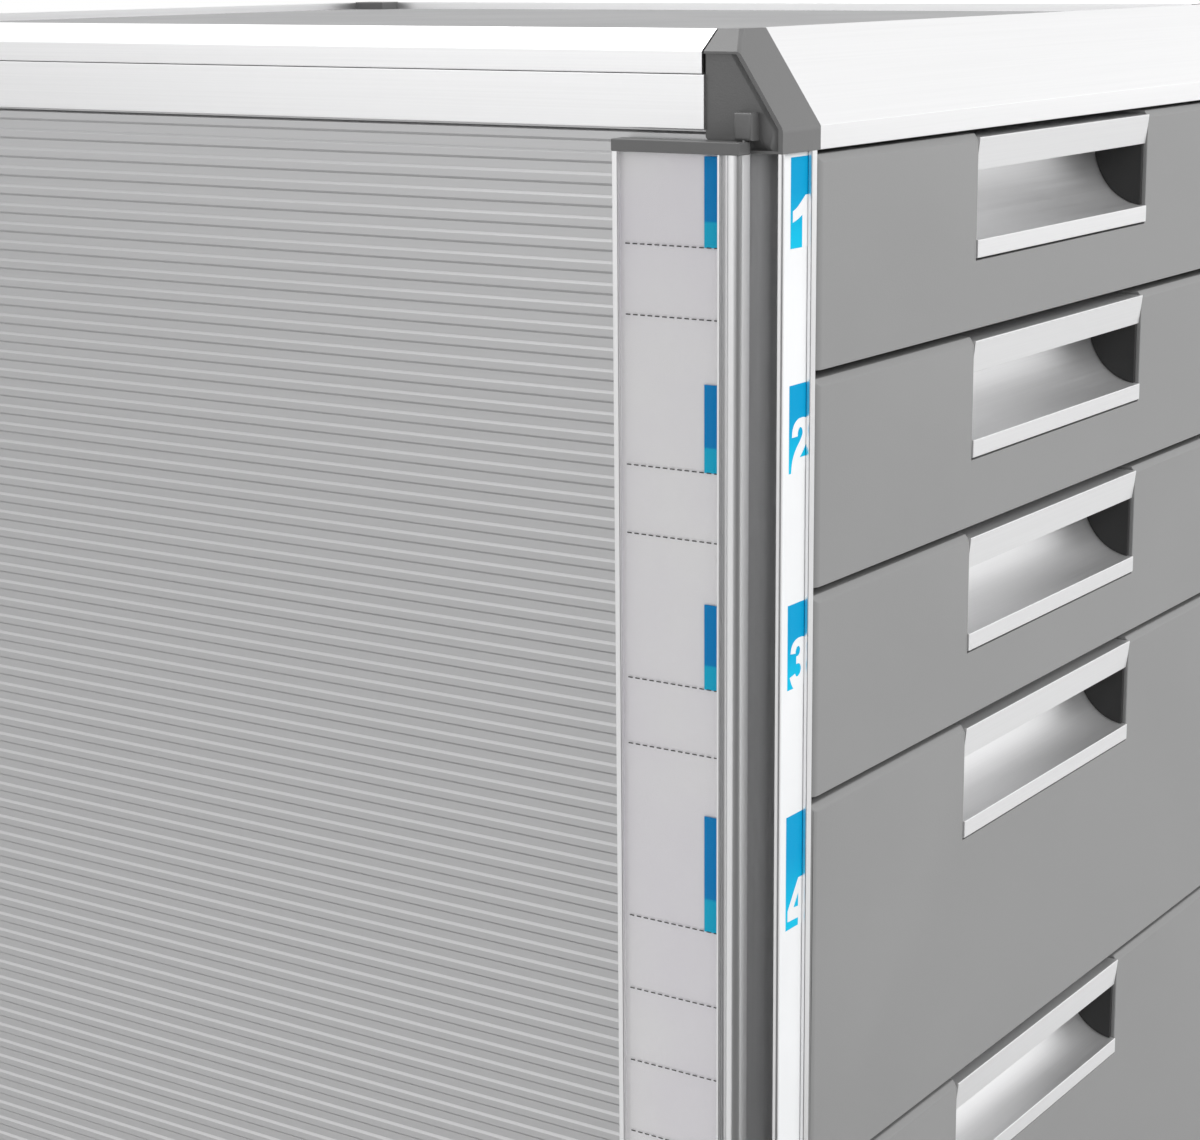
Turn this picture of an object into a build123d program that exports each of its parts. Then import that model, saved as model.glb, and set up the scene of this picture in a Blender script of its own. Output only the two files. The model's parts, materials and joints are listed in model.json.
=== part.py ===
from build123d import *
from math import hypot
import os

os.makedirs("parts", exist_ok=True)

# Desktop drawer organizer: an aluminium frame of posts and rails, joined by moulded corner
# caps, holds grooved side and back panels and five drawers on moulded runners. A hinged card
# holder is folded back against the left side.
# X runs across the front, Y runs from the front to the back and Z is up, with the feet on Z = 0.

# Overall body
opening_width = 262.0
post_width = 15.0
cabinet_depth = 345.0
shallow_pitch = 49.2
deep_pitch = 96.2
shallow_drawers = 3
deep_drawers = 2
foot_height = 5.0
base_height = 14.0
top_height = 25.8

# Front and back posts
post_depth = 19.0
post_wall = 1.4
ridge_width = 1.0
ridge_depth = 1.1
ridge_radius = 0.45
cove_back = 12.2
cove_root = 0.35
cove_depth = 2.5
strip_lip_width = 2.4
strip_lip_thickness = 1.0
strip_undercut = 1.2
strip_slot = 0.6
strip_thickness = 0.4
back_post_radius = 5.0

# Corner caps
cap_overlap = 1.3
cap_length = 19.6
lip_height = 5.2
slope_depth = 13.8
bevel_width = 6.2
bevel_height = 4.6
cap_recess = 0.8
cap_recess_run = 1.7
cap_brow = 0.5
cap_lip_radius = 2.6
cap_bevel_radius = 1.3
pocket_floor = 0.6
pocket_height = 9.0
pocket_fade = 2.0
cap_nick = 3.0
cap_radius = 0.5
spigot_length = 9.0
spigot_clearance = 0.2

# Rails and bands
rail_wall = 1.5
rail_land = 1.2
panel_sink = 2.5
rail_shelf = 5.0
rail_shelf_thickness = 1.7
band_bottom = 4.6
band_top = 16.3
band_gap = 0.12
band_width = 12.0
rail_end_gap = 0.5
base_rail_width = 15.0
base_rail_lift = 1.0

# Panels
top_panel_thickness = 3.0
base_panel_thickness = 3.0
base_panel_sink = 2.0
side_panel_thickness = 3.0
side_panel_recess = 1.0
panel_groove = 3.0
panel_clearance = 0.1
rib_pitch = 4.87
rib_width = 2.25
rib_height = 0.5
rib_slope = 0.6
rib_offset = 0.75
back_panel_thickness = 3.0

# Runner liners
liner_inset = 12.6
liner_thickness = 2.0
runner_reach = 6.8
runner_thickness = 2.0
runner_gap = 0.3
runner_headroom = 0.6
liner_end_gap = 0.3

# Drawer fronts
front_gap = 2.0
front_side_gap = 0.6
front_depth = 18.0
front_wall = 2.4
front_face = 3.0
front_chamfer = 1.65
front_chamfer_depth = 1.2
front_side_radius = 2.4
clip_width = 12.0
clip_height = 7.0
clip_spread = 200.0
clip_pitch = 40.0
tongue_width = 8.0
tongue_height = 3.0
tongue_clearance = 0.2

# Recessed pulls
pull_width = 104.0
pull_height = 29.0
pull_drop = 0.95
pull_lip = 7.9
pull_sill = 4.4
pull_depth = 15.0
pull_wall = 1.5
pull_proud = 0.35
pull_slant = 0.6
pull_clearance = 0.15
pull_shadow_gap = 0.6
pull_end_thickness = 1.2
pull_end_clearance = 0.1
pull_end_setback = 1.0
pull_cheek = 2.0

# Trays
tray_side_gap = 0.5
flange_width = 6.5
flange_thickness = 2.0
tray_length = 306.0
tray_wall = 2.2
tray_floor_gap = 3.0
tray_headroom = 4.4
tray_corner_radius = 8.0
tray_floor_chamfer = 2.5

# Hinged card holder
holder_gap = 0.3
holder_thickness = 5.2
holder_front = 7.4
holder_width = 32.4
holder_wall = 1.2
holder_bead = 3.5
holder_bead_radius = 1.7
holder_fillet_margin = 0.1
holder_groove = 1.3
holder_groove_depth = 1.3
holder_inner_lip = 0.75
holder_outer_lip = 1.5
holder_lip_depth = 0.8
holder_undercut = 0.5
holder_corner = 1.0
holder_inset = 0.15
holder_cap_thickness = 2.7
holder_cap_rim = 0.3
holder_cap_radius = 0.9
holder_plug_length = 5.0
holder_plug_clearance = 0.1
card_thickness = 0.3
window_thickness = 0.4
card_play = 0.1
pivot_proud = 1.3
pivot_setback = 1.2
pivot_radius = 0.6
pivot_clearance = 0.05
pivot_reach = 2.0
pivot_end_gap = 0.2
lug_reach = 2.3
lug_root = 2.8
lug_width = 4.5
lug_height = 5.9
lug_gap = 0.2
lug_radius = 0.7
lug_bore_depth = 4.9

# Feet
foot_top_radius = 9.0
foot_radius = 8.3
foot_inset = 9.5
peg_width = 3.6
peg_length = 9.0
peg_clearance = 0.05
peg_end_gap = 0.5

# Derived sizes and places
body_width = opening_width + 2 * post_width
holder_proud = holder_gap + holder_thickness
centre_x = holder_proud / 2
front_y = -cabinet_depth / 2
back_y = cabinet_depth / 2
stack_bottom = foot_height + base_height
stack_height = shallow_pitch * shallow_drawers + deep_pitch * deep_drawers
stack_top = stack_bottom + stack_height
top_z = stack_top + top_height
shelf_z = top_z - panel_sink - top_panel_thickness
cap_width = post_width + cap_overlap
front_width = opening_width - 2 * front_side_gap
strip_floor = strip_lip_thickness + strip_slot
hinge_depth = holder_front + pivot_setback
top_lug_z = stack_top - holder_inset + holder_cap_thickness + lug_gap
base_lug_z = stack_bottom + holder_inset - holder_cap_thickness - lug_gap
holder_side = -1
names = {-1: "left", 1: "right"}


def from_side(side, inset):
    """X of a place that lies inset from the left (-1) or right (+1) face of the body."""
    return centre_x + side * (body_width / 2 - inset)


def from_front(depth):
    """Y of a place that lies behind the front face of the body."""
    return front_y + depth


def from_back(depth):
    """Y of a place that lies ahead of the back face of the body."""
    return back_y - depth


def at_y(y):
    """Upright plane across the body, whose sketches are drawn in X and Z."""
    return Plane.XZ.offset(-y)


def save(piece, name):
    piece.part.label = name
    export_step(piece.part, f"parts/{name}.step")


def rectangle(low, high, mode=Mode.ADD):
    """Rectangle between two opposite corners of a sketch."""
    middle = ((low[0] + high[0]) / 2, (low[1] + high[1]) / 2)
    with Locations(middle):
        Rectangle(abs(high[0] - low[0]), abs(high[1] - low[1]), mode=mode)


def cuboid(low, high, mode=Mode.ADD):
    """Box between two opposite corners."""
    size = [abs(b - a) for a, b in zip(low, high)]
    middle = tuple((a + b) / 2 for a, b in zip(low, high))
    with Locations(middle):
        Box(*size, mode=mode)


def low_x(side, near, far):
    return min(from_side(side, near), from_side(side, far))


# Posts

def post_groove(side, depths):
    """Groove in a post's flank that takes the edge of the side panel."""
    edge = side_panel_recess - panel_clearance
    width = side_panel_thickness + 2 * panel_clearance
    low = (from_side(side, edge), depths[0])
    high = (from_side(side, edge + width), depths[1])
    rectangle(low, high, Mode.SUBTRACT)


def post_cavity(side, play=0.0):
    """Corners of the hollow in a front post, which the caps' spigots fill."""
    low = (from_side(side, cove_depth + post_wall + play), from_front(strip_floor + post_wall + play))
    far = post_depth - panel_groove - post_wall - play
    high = (from_side(side, post_width - post_wall - play), from_front(far))
    return low, high


def front_post(side):
    """Extruded post with a coved flank and an undercut channel for a slide-in strip."""
    def at(inset, depth):
        return (from_side(side, inset), from_front(depth))

    with BuildPart() as post:
        with BuildSketch(Plane.XY.offset(stack_bottom)):
            with BuildLine():
                Polyline(at(cove_root, ridge_depth + ridge_radius), at(0, ridge_depth), at(0, 0),
                         at(post_width, 0), at(post_width, post_depth), at(0, post_depth), at(0, cove_back))
                ThreePointArc(at(0, cove_back), at(cove_depth, (cove_back + ridge_depth) / 2),
                              at(cove_root, ridge_depth + ridge_radius))
            make_face()
            rectangle(at(ridge_width, 0), at(post_width - strip_lip_width, strip_floor), Mode.SUBTRACT)
            rectangle(at(ridge_width, strip_lip_thickness),
                      at(post_width - strip_lip_width + strip_undercut, strip_floor), Mode.SUBTRACT)
            rectangle(*post_cavity(side), Mode.SUBTRACT)
            post_groove(side, (from_front(post_depth - panel_groove), from_front(post_depth)))
        extrude(amount=stack_height)
        ridge = post.edges().filter_by(Axis.Z).sort_by_distance((*at(0, 0), stack_bottom))
        fillet(ridge[0], radius=ridge_radius)
    return post


def back_cavity(side, play=0.0):
    """Corners of the hollow in a back post."""
    inner = post_wall + play
    low = (from_side(side, inner + side_panel_recess + side_panel_thickness),
           from_back(inner + side_panel_recess + back_panel_thickness))
    high = (from_side(side, post_width - inner), from_back(post_depth - panel_groove - inner))
    return low, high


def back_post(side):
    """Extruded post with a rounded outer corner and grooves for two panels."""
    with BuildPart() as post:
        with BuildSketch(Plane.XY.offset(stack_bottom)):
            rectangle((from_side(side, 0), from_back(0)),
                      (from_side(side, post_width), from_back(post_depth)))
            rectangle(*back_cavity(side), Mode.SUBTRACT)
            post_groove(side, (from_back(post_depth - panel_groove), from_back(post_depth)))
            edge = side_panel_recess - panel_clearance
            deep_edge = edge + back_panel_thickness + 2 * panel_clearance
            rectangle((from_side(side, post_width - panel_groove), from_back(edge)),
                      (from_side(side, post_width), from_back(deep_edge)), Mode.SUBTRACT)
        extrude(amount=stack_height)
        corner = post.edges().filter_by(Axis.Z).sort_by_distance((from_side(side, 0), back_y, stack_bottom))
        fillet(corner[0], radius=back_post_radius)
    return post


for side in (-1, 1):
    save(front_post(side), f"front_post_{names[side]}")
    save(back_post(side), f"back_post_{names[side]}")


# Corner caps

def bevel_across(side, y_near, y_far):
    """Outline of a cap seen from the front, which cuts the bevel along its outer top edge."""
    with BuildSketch(at_y(y_far)) as front_view:
        Polygon((from_side(side, 0), stack_top),
                 (from_side(side, 0), top_z - bevel_height),
                 (from_side(side, bevel_width), top_z),
                 (from_side(side, cap_width), top_z),
                 (from_side(side, cap_width), stack_top), align=None)
    extrude(front_view.sketch, amount=y_far - y_near, mode=Mode.INTERSECT)


def beside_ridge(side, along, kept):
    """Space behind one straight run of a cap's ridge, mitred where the runs meet."""
    beyond = 2 * cap_length
    rise = top_height - lip_height
    corner = (from_side(side, 0), from_front(ridge_depth), stack_top + lip_height)
    mitre = (0, slope_depth, rise + hypot(slope_depth, rise))
    with BuildPart() as space:
        with BuildSketch(Plane(corner, x_dir=(1, 0, 0), z_dir=along)):
            with BuildLine():
                Polyline((0, 0), (side * cap_recess, 0), (side * cap_recess, beyond),
                         (-side * cap_recess, beyond), (-side * cap_recess, cap_recess_run))
                TangentArc((-side * cap_recess, cap_recess_run), (0, 0), tangent=(0, -1))
            make_face()
        extrude(amount=beyond, both=True)
        split(bisect_by=Plane(corner, x_dir=(1, 0, 0), z_dir=mitre), keep=kept)
    return space


def flank_space(side):
    """Space beside a front cap, which leaves a coved ridge along its front edges."""
    with BuildPart() as space:
        add(beside_ridge(side, (0, 0, 1), Keep.BOTTOM).part)
        add(beside_ridge(side, (0, slope_depth, top_height - lip_height), Keep.TOP).part)
        cuboid((from_side(side, -cap_recess), from_front(0), stack_top + pocket_floor),
               (from_side(side, cap_recess), from_front(2 * cap_length), top_z - bevel_height - cap_brow),
               Mode.INTERSECT)
    return space


def hinge_pocket(side):
    """Space of the pocket ahead of a hinge: a cove that fades out as it follows the slope."""
    rise = top_height - lip_height
    lean = rise * pocket_fade / pocket_height
    near = ridge_depth + ridge_radius
    floor = (from_side(side, 0), from_front(0), stack_top + pocket_floor)
    with BuildPart() as space:
        with BuildSketch(Plane(floor, x_dir=(1, 0, 0), z_dir=(side * lean, slope_depth, rise))):
            with BuildLine():
                Polyline((-side * cove_root, near), (side * cove_depth, near), (side * cove_depth, cove_back),
                         (0, cove_back))
                ThreePointArc((0, cove_back), (-side * cove_depth, (cove_back + ridge_depth) / 2),
                              (-side * cove_root, near))
            make_face()
        extrude(amount=2 * pocket_height, both=True)
        cuboid((from_side(side, -post_width), from_front(0), stack_top + pocket_floor),
               (from_side(side, post_width), from_front(hinge_depth), top_z), Mode.INTERSECT)
    return space


def front_cap(side, hinged):
    """Cap that joins the front rail, a side rail and a post, with a coved pocket for the hinge."""
    with BuildPart() as cap:
        with BuildSketch(Plane.YZ.offset(low_x(side, 0, cap_width))) as side_view:
            Polygon((from_front(0), stack_top), (from_front(0), stack_top + lip_height),
                     (from_front(slope_depth), top_z), (from_front(cap_length), top_z),
                     (from_front(cap_length), stack_top + cap_nick),
                     (from_front(cap_length - cap_nick), stack_top), align=None)
            lip = side_view.vertices().sort_by_distance((from_front(0), stack_top + lip_height, 0))
            fillet(lip[0], radius=cap_lip_radius)
        extrude(amount=cap_width)
        bevel_across(side, from_front(0), from_front(cap_length))
        meeting = (from_side(side, bevel_width / 2), from_front(slope_depth), top_z - bevel_height / 2)
        fillet(cap.edges().sort_by_distance(meeting)[0], radius=cap_bevel_radius)
        add(flank_space(side).part, mode=Mode.SUBTRACT)
        add(hinge_pocket(side).part, mode=Mode.SUBTRACT)
        with BuildSketch(Plane.XY.offset(stack_top)):
            rectangle(*post_cavity(side, spigot_clearance))
        extrude(amount=-spigot_length)
        if hinged:
            hinge_lug(side, top_lug_z, 1)
            finish_lug(cap, side, top_lug_z, 1)
    return cap


def hinge_lug(side, face_z, upward):
    """Block on the outside of a corner cap that carries a pivot pin of the card holder."""
    y_mid = from_front(hinge_depth)
    low_z = face_z if upward > 0 else face_z - lug_height
    cuboid((from_side(side, -lug_reach), y_mid - lug_width / 2, low_z),
           (from_side(side, lug_root), y_mid + lug_width / 2, low_z + lug_height))


def finish_lug(piece, side, face_z, upward):
    """Round the free edges of the lug and drill it for its pin."""
    y_mid = from_front(hinge_depth)
    x_out = from_side(side, -lug_reach)
    proud = piece.edges().filter_by_position(Axis.X, x_out - 0.01, x_out + 0.01)
    fillet(proud, radius=lug_radius)
    low_z = face_z if upward > 0 else face_z - lug_bore_depth
    with BuildSketch(Plane.XY.offset(low_z)) as bore:
        with Locations((from_side(side, -pivot_proud), y_mid)):
            Circle(pivot_radius)
    extrude(bore.sketch, amount=lug_bore_depth, mode=Mode.SUBTRACT)


def back_cap(side):
    """Cap that joins the back rail, a side rail and a back post."""
    with BuildPart() as cap:
        with BuildSketch(Plane.YZ.offset(low_x(side, 0, cap_width))):
            Polygon((from_back(0), stack_top), (from_back(0), top_z - bevel_height),
                     (from_back(bevel_width), top_z), (from_back(cap_length), top_z),
                     (from_back(cap_length), stack_top), align=None)
        extrude(amount=cap_width)
        bevel_across(side, from_back(cap_length), from_back(0))
        upright = cap.edges().filter_by(Axis.Z).sort_by_distance((from_side(side, 0), back_y, stack_top))
        fillet(upright[0], radius=cap_radius * 3)
        with BuildSketch(Plane.XY.offset(stack_top)):
            rectangle(*back_cavity(side, spigot_clearance))
        extrude(amount=-spigot_length)
    return cap


def base_cap(side, y_outer, y_inner, cavity, hinged=False):
    """Foot block under a post, with a square hole for the peg of its foot."""
    with BuildPart() as cap:
        with BuildSketch(Plane.XY.offset(foot_height)):
            rectangle((from_side(side, 0), y_outer), (from_side(side, cap_width), y_inner))
        extrude(amount=base_height)
        corner = cap.edges().filter_by(Axis.Z).sort_by_distance((from_side(side, 0), y_outer, foot_height))
        fillet(corner[0], radius=cap_radius * 3)
        with BuildSketch(Plane.XY.offset(stack_bottom)):
            rectangle(*cavity(side, spigot_clearance))
        extrude(amount=spigot_length)
        toward = 1 if y_inner > y_outer else -1
        with BuildSketch(Plane.XY.offset(foot_height)):
            with Locations((from_side(side, foot_inset), y_outer + toward * foot_inset)):
                Rectangle(peg_width + 2 * peg_clearance, peg_width + 2 * peg_clearance)
        extrude(amount=peg_length + peg_end_gap, mode=Mode.SUBTRACT)
        if hinged:
            hinge_lug(side, base_lug_z, -1)
            finish_lug(cap, side, base_lug_z, -1)
    return cap


for side in (-1, 1):
    hinged = side == holder_side
    save(front_cap(side, hinged), f"top_cap_front_{names[side]}")
    save(back_cap(side), f"top_cap_back_{names[side]}")
    save(base_cap(side, front_y, from_front(cap_length), post_cavity, hinged),
         f"base_cap_front_{names[side]}")
    save(base_cap(side, back_y, from_back(cap_length), back_cavity), f"base_cap_back_{names[side]}")


# Rails

def shell_out():
    """Turn the sketch so far into the wall of a hollow extrusion."""
    offset(amount=-rail_wall, kind=Kind.INTERSECTION, mode=Mode.SUBTRACT)


rail_head = bevel_width + rail_land
front_rail_depth = slope_depth + rail_land

with BuildPart() as front_rail:
    with BuildSketch(Plane.YZ.offset(from_side(-1, cap_width))):
        Polygon((from_front(0), stack_top), (from_front(0), stack_top + lip_height),
                (from_front(slope_depth), top_z), (from_front(front_rail_depth), top_z),
                (from_front(front_rail_depth), stack_top), align=None)
        shell_out()
        rectangle((from_front(front_rail_depth), shelf_z - rail_shelf_thickness),
                  (from_front(front_rail_depth + rail_shelf), shelf_z))
    extrude(amount=body_width - 2 * cap_width)
save(front_rail, "top_rail_front")

with BuildPart() as back_rail:
    with BuildSketch(Plane.YZ.offset(from_side(-1, cap_width))):
        Polygon((from_back(0), stack_top + band_bottom), (from_back(0), top_z - bevel_height),
                (from_back(bevel_width), top_z), (from_back(rail_head), top_z),
                (from_back(rail_head), stack_top + band_bottom), align=None)
        groove_top = stack_top + band_bottom + panel_groove
        shell_out()
        rectangle((from_back(0), stack_top + band_bottom), (from_back(rail_head), groove_top + rail_wall))
        edge = side_panel_recess - panel_clearance
        rectangle((from_back(edge), stack_top + band_bottom),
                  (from_back(edge + back_panel_thickness + 2 * panel_clearance), groove_top), Mode.SUBTRACT)
        rectangle((from_back(rail_head), shelf_z - rail_shelf_thickness),
                  (from_back(rail_head + rail_shelf), shelf_z))
    extrude(amount=body_width - 2 * cap_width)
save(back_rail, "top_rail_back")


def side_rail(side):
    """Upper rail of a side, with a bevel outside and a shelf for the top panel inside."""
    with BuildPart() as rail:
        with BuildSketch(at_y(from_back(cap_length))):
            Polygon((from_side(side, 0), stack_top + band_top + band_gap),
                    (from_side(side, 0), top_z - bevel_height),
                    (from_side(side, bevel_width), top_z), (from_side(side, rail_head), top_z),
                    (from_side(side, rail_head), stack_top + band_top + band_gap), align=None)
            shell_out()
            rectangle((from_side(side, rail_head), shelf_z - rail_shelf_thickness),
                      (from_side(side, rail_head + rail_shelf), shelf_z))
        extrude(amount=cabinet_depth - 2 * cap_length - rail_end_gap)
    return rail


def side_band(side):
    """Flat band under a side rail, grooved below for the side panel."""
    groove_top = stack_top + band_bottom + panel_groove
    with BuildPart() as band:
        with BuildSketch(at_y(from_back(cap_length))):
            rectangle((from_side(side, 0), stack_top + band_bottom),
                      (from_side(side, band_width), stack_top + band_top))
            rectangle((from_side(side, rail_wall), groove_top + rail_wall),
                      (from_side(side, band_width - rail_wall), stack_top + band_top - rail_wall),
                      Mode.SUBTRACT)
            edge = side_panel_recess - panel_clearance
            rectangle((from_side(side, edge), stack_top + band_bottom),
                      (from_side(side, edge + side_panel_thickness + 2 * panel_clearance), groove_top),
                      Mode.SUBTRACT)
        extrude(amount=cabinet_depth - 2 * cap_length)
    return band


for side in (-1, 1):
    save(side_rail(side), f"top_rail_{names[side]}")
    save(side_band(side), f"side_band_{names[side]}")


def base_rail_profile(near, far, shelf, groove):
    """Hollow base rail in section: near and far are its faces, shelf carries the base panel."""
    top = stack_bottom
    rectangle((near, foot_height + base_rail_lift), (far, top))
    rectangle((near + (rail_wall if far > near else -rail_wall), foot_height + base_rail_lift + rail_wall),
              (far + (-rail_wall if far > near else rail_wall), top - panel_groove - rail_wall), Mode.SUBTRACT)
    rectangle((far, base_panel_z - rail_shelf_thickness), (shelf, base_panel_z))
    if groove:
        rectangle((groove[0], top - panel_groove), (groove[1], top), Mode.SUBTRACT)


def groove_span(place, thickness):
    """Both edges of a panel's groove, which place() measures in from the outer face."""
    edge = side_panel_recess - panel_clearance
    return place(edge), place(edge + thickness + 2 * panel_clearance)


base_panel_z = stack_bottom - base_panel_sink - base_panel_thickness

with BuildPart() as base_front:
    with BuildSketch(Plane.YZ.offset(from_side(-1, cap_width))):
        base_rail_profile(from_front(0), from_front(base_rail_width), from_front(cap_length), None)
    extrude(amount=body_width - 2 * cap_width)
save(base_front, "base_rail_front")

with BuildPart() as base_back:
    with BuildSketch(Plane.YZ.offset(from_side(-1, cap_width))):
        base_rail_profile(from_back(0), from_back(base_rail_width), from_back(cap_length),
                          groove_span(from_back, back_panel_thickness))
    extrude(amount=body_width - 2 * cap_width)
save(base_back, "base_rail_back")

for side in (-1, 1):
    with BuildPart() as base_side:
        with BuildSketch(at_y(from_back(cap_length))):
            base_rail_profile(from_side(side, 0), from_side(side, base_rail_width),
                              from_side(side, base_rail_width + rail_shelf),
                              groove_span(lambda inset: from_side(side, inset), side_panel_thickness))
        extrude(amount=cabinet_depth - 2 * cap_length)
    save(base_side, f"base_rail_{names[side]}")


# Panels

def notched_panel(z, thickness, side_inset, front_inset, back_inset):
    """Flat panel between the rails, notched round the four corner caps."""
    play = panel_clearance
    with BuildPart() as panel:
        with BuildSketch(Plane.XY.offset(z)):
            rectangle((from_side(-1, side_inset + play), from_front(front_inset + play)),
                      (from_side(1, side_inset + play), from_back(back_inset + play)))
            for side in (-1, 1):
                rectangle((from_side(side, 0), from_front(0)),
                          (from_side(side, cap_width + play), from_front(cap_length + play)), Mode.SUBTRACT)
                rectangle((from_side(side, 0), from_back(0)),
                          (from_side(side, cap_width + play), from_back(cap_length + play)), Mode.SUBTRACT)
        extrude(amount=thickness)
    return panel


save(notched_panel(shelf_z, top_panel_thickness, rail_head, front_rail_depth, rail_head), "top_panel")
save(notched_panel(base_panel_z, base_panel_thickness, base_rail_width, base_rail_width, base_rail_width),
     "base_panel")

panel_low = stack_bottom - panel_groove + panel_clearance
panel_high = stack_top + band_bottom + panel_groove - panel_clearance
rib_top = stack_top + band_bottom - rib_offset
rib_count = int((rib_top - stack_bottom) / rib_pitch)


def side_panel(side):
    """Side sheet with raised ribs outside, held by the posts, the band and the base rail."""
    inner = from_side(side, side_panel_recess + side_panel_thickness)
    groove = from_side(side, side_panel_recess + rib_height)
    face = from_side(side, side_panel_recess)
    half_slope = rib_slope / 2
    outline = [(groove, panel_low), (inner, panel_low), (inner, panel_high), (groove, panel_high)]
    for number in range(rib_count):
        high = rib_top - number * rib_pitch
        low = high - rib_width
        outline += [(groove, high + half_slope), (face, high - half_slope),
                    (face, low + half_slope), (groove, low - half_slope)]
    seat = post_depth - panel_groove + panel_clearance
    length = cabinet_depth - 2 * seat
    with BuildPart() as panel:
        with BuildSketch(at_y(from_back(seat))):
            Polygon(*outline, align=None)
        extrude(amount=length)
        x_low = from_side(side, 0)
        x_high = from_side(side, cap_width)
        for z_low, z_high in ((0, stack_bottom), (stack_top, top_z)):
            cuboid((x_low, from_front(0), z_low - panel_clearance),
                   (x_high, from_front(cap_length + panel_clearance), z_high + panel_clearance), Mode.SUBTRACT)
            cuboid((x_low, from_back(0), z_low - panel_clearance),
                   (x_high, from_back(cap_length + panel_clearance), z_high + panel_clearance), Mode.SUBTRACT)
    return panel


for side in (-1, 1):
    save(side_panel(side), f"side_panel_{names[side]}")

with BuildPart() as back_panel:
    edge_inset = post_width - panel_groove + panel_clearance
    cuboid((from_side(-1, edge_inset), from_back(side_panel_recess + back_panel_thickness), panel_low),
           (from_side(1, edge_inset), from_back(side_panel_recess), panel_high))
    for side in (-1, 1):
        for z_low, z_high in ((0, stack_bottom), (stack_top, top_z)):
            cuboid((from_side(side, 0), from_back(0), z_low - panel_clearance),
                   (from_side(side, cap_width + panel_clearance), from_back(cap_length),
                    z_high + panel_clearance), Mode.SUBTRACT)
save(back_panel, "back_panel")


# Drawers, from the top down: the height of each one's space and where the space begins

drawer_pitches = [shallow_pitch] * shallow_drawers + [deep_pitch] * deep_drawers
drawer_tops = [stack_top - sum(drawer_pitches[:number]) for number in range(len(drawer_pitches))]
tray_inset = post_width + tray_side_gap + flange_width


def flange_bottom(space_top):
    return space_top - tray_headroom - flange_thickness


# Runner liners

def liner(side):
    """Moulded lining of a side: a slot between two runners for each drawer's flange."""
    face = liner_inset + liner_thickness
    length = cabinet_depth - 2 * post_depth - 2 * liner_end_gap
    with BuildPart() as lining:
        with BuildSketch(at_y(from_back(post_depth + liner_end_gap))):
            rectangle((from_side(side, liner_inset), stack_bottom), (from_side(side, face), stack_top))
            for space_top in drawer_tops:
                ledge = flange_bottom(space_top) - runner_gap
                guide = flange_bottom(space_top) + flange_thickness + runner_headroom
                for z in (ledge - runner_thickness, guide):
                    rectangle((from_side(side, face), z),
                              (from_side(side, face + runner_reach), z + runner_thickness))
        extrude(amount=length)
    return lining


for side in (-1, 1):
    save(liner(side), f"runner_liner_{names[side]}")


# Strips in the posts' channels

def channel_strip(side):
    """Stiff strip behind the lips of a front post."""
    near = strip_lip_thickness + (strip_slot - strip_thickness) / 2
    play = (strip_slot - strip_thickness) / 2
    with BuildPart() as strip:
        with BuildSketch(Plane.XY.offset(stack_bottom)):
            rectangle((from_side(side, ridge_width + play), from_front(near)),
                      (from_side(side, post_width - strip_lip_width + strip_undercut - play),
                       from_front(near + strip_thickness)))
        extrude(amount=stack_height)
    return strip


save(channel_strip(-1), "number_strip")
save(channel_strip(1), "plain_strip")


# Drawers

def drawer_front(space_top, pitch):
    """Hollow moulded front with a chamfered top edge, open above and behind its recessed pull."""
    z_low = space_top - pitch + front_gap / 2
    z_high = space_top - front_gap / 2
    x_low = centre_x - front_width / 2
    x_high = centre_x + front_width / 2
    window_low = z_high - pull_drop - pull_height - pull_shadow_gap
    half_window = pull_width / 2 + pull_clearance
    cheek = half_window + pull_cheek
    with BuildPart() as front:
        with BuildSketch(Plane.YZ.offset(x_low)):
            Polygon((from_front(0), z_low), (from_front(0), z_high - front_chamfer),
                    (from_front(front_chamfer_depth), z_high), (from_front(front_depth), z_high),
                    (from_front(front_depth), z_low), align=None)
        extrude(amount=front_width)
        uprights = front.edges().filter_by(Axis.Z).filter_by_position(Axis.Y, front_y - 0.1, front_y + 0.1)
        fillet(uprights, radius=front_side_radius)
        cuboid((x_low + front_wall, from_front(front_face), z_low + front_wall),
               (x_high - front_wall, from_front(front_depth), z_high - front_wall), Mode.SUBTRACT)
        cuboid((centre_x - cheek, from_front(front_face), z_low + front_wall),
               (centre_x + cheek, from_front(front_depth), z_high - front_wall))
        cuboid((centre_x - half_window, from_front(0), window_low),
               (centre_x + half_window, from_front(front_depth), z_high), Mode.SUBTRACT)
        cuboid((centre_x - half_window, from_front(front_face), z_low + front_wall),
               (centre_x + half_window, from_front(front_depth), window_low), Mode.SUBTRACT)
        with BuildSketch(at_y(from_front(front_depth))):
            with Locations(*clip_places(space_top, pitch)):
                Rectangle(clip_width, clip_height)
        extrude(amount=front_depth - front_face)
        with BuildSketch(at_y(from_front(front_depth + tray_wall))):
            with Locations(*clip_places(space_top, pitch)):
                Rectangle(tongue_width, tongue_height)
        extrude(amount=tray_wall)
    return front


def clip_places(space_top, pitch):
    """X and Z of the tongues that hold a front on its tray: two, or four on a deep drawer."""
    rows = 1 if pitch < 2 * clip_pitch else 2
    middle = space_top - pitch / 2
    return [(centre_x + side * clip_spread / 2, middle + (row - (rows - 1) / 2) * clip_pitch)
            for row in range(rows) for side in (-1, 1)]


def pull_places(space_top):
    """Heights of a pull: its top, the bottom of its lip, the top of its sill and its bottom."""
    top = space_top - front_gap / 2 - pull_drop
    return top, top - pull_lip, top - pull_height + pull_sill, top - pull_height


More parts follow.
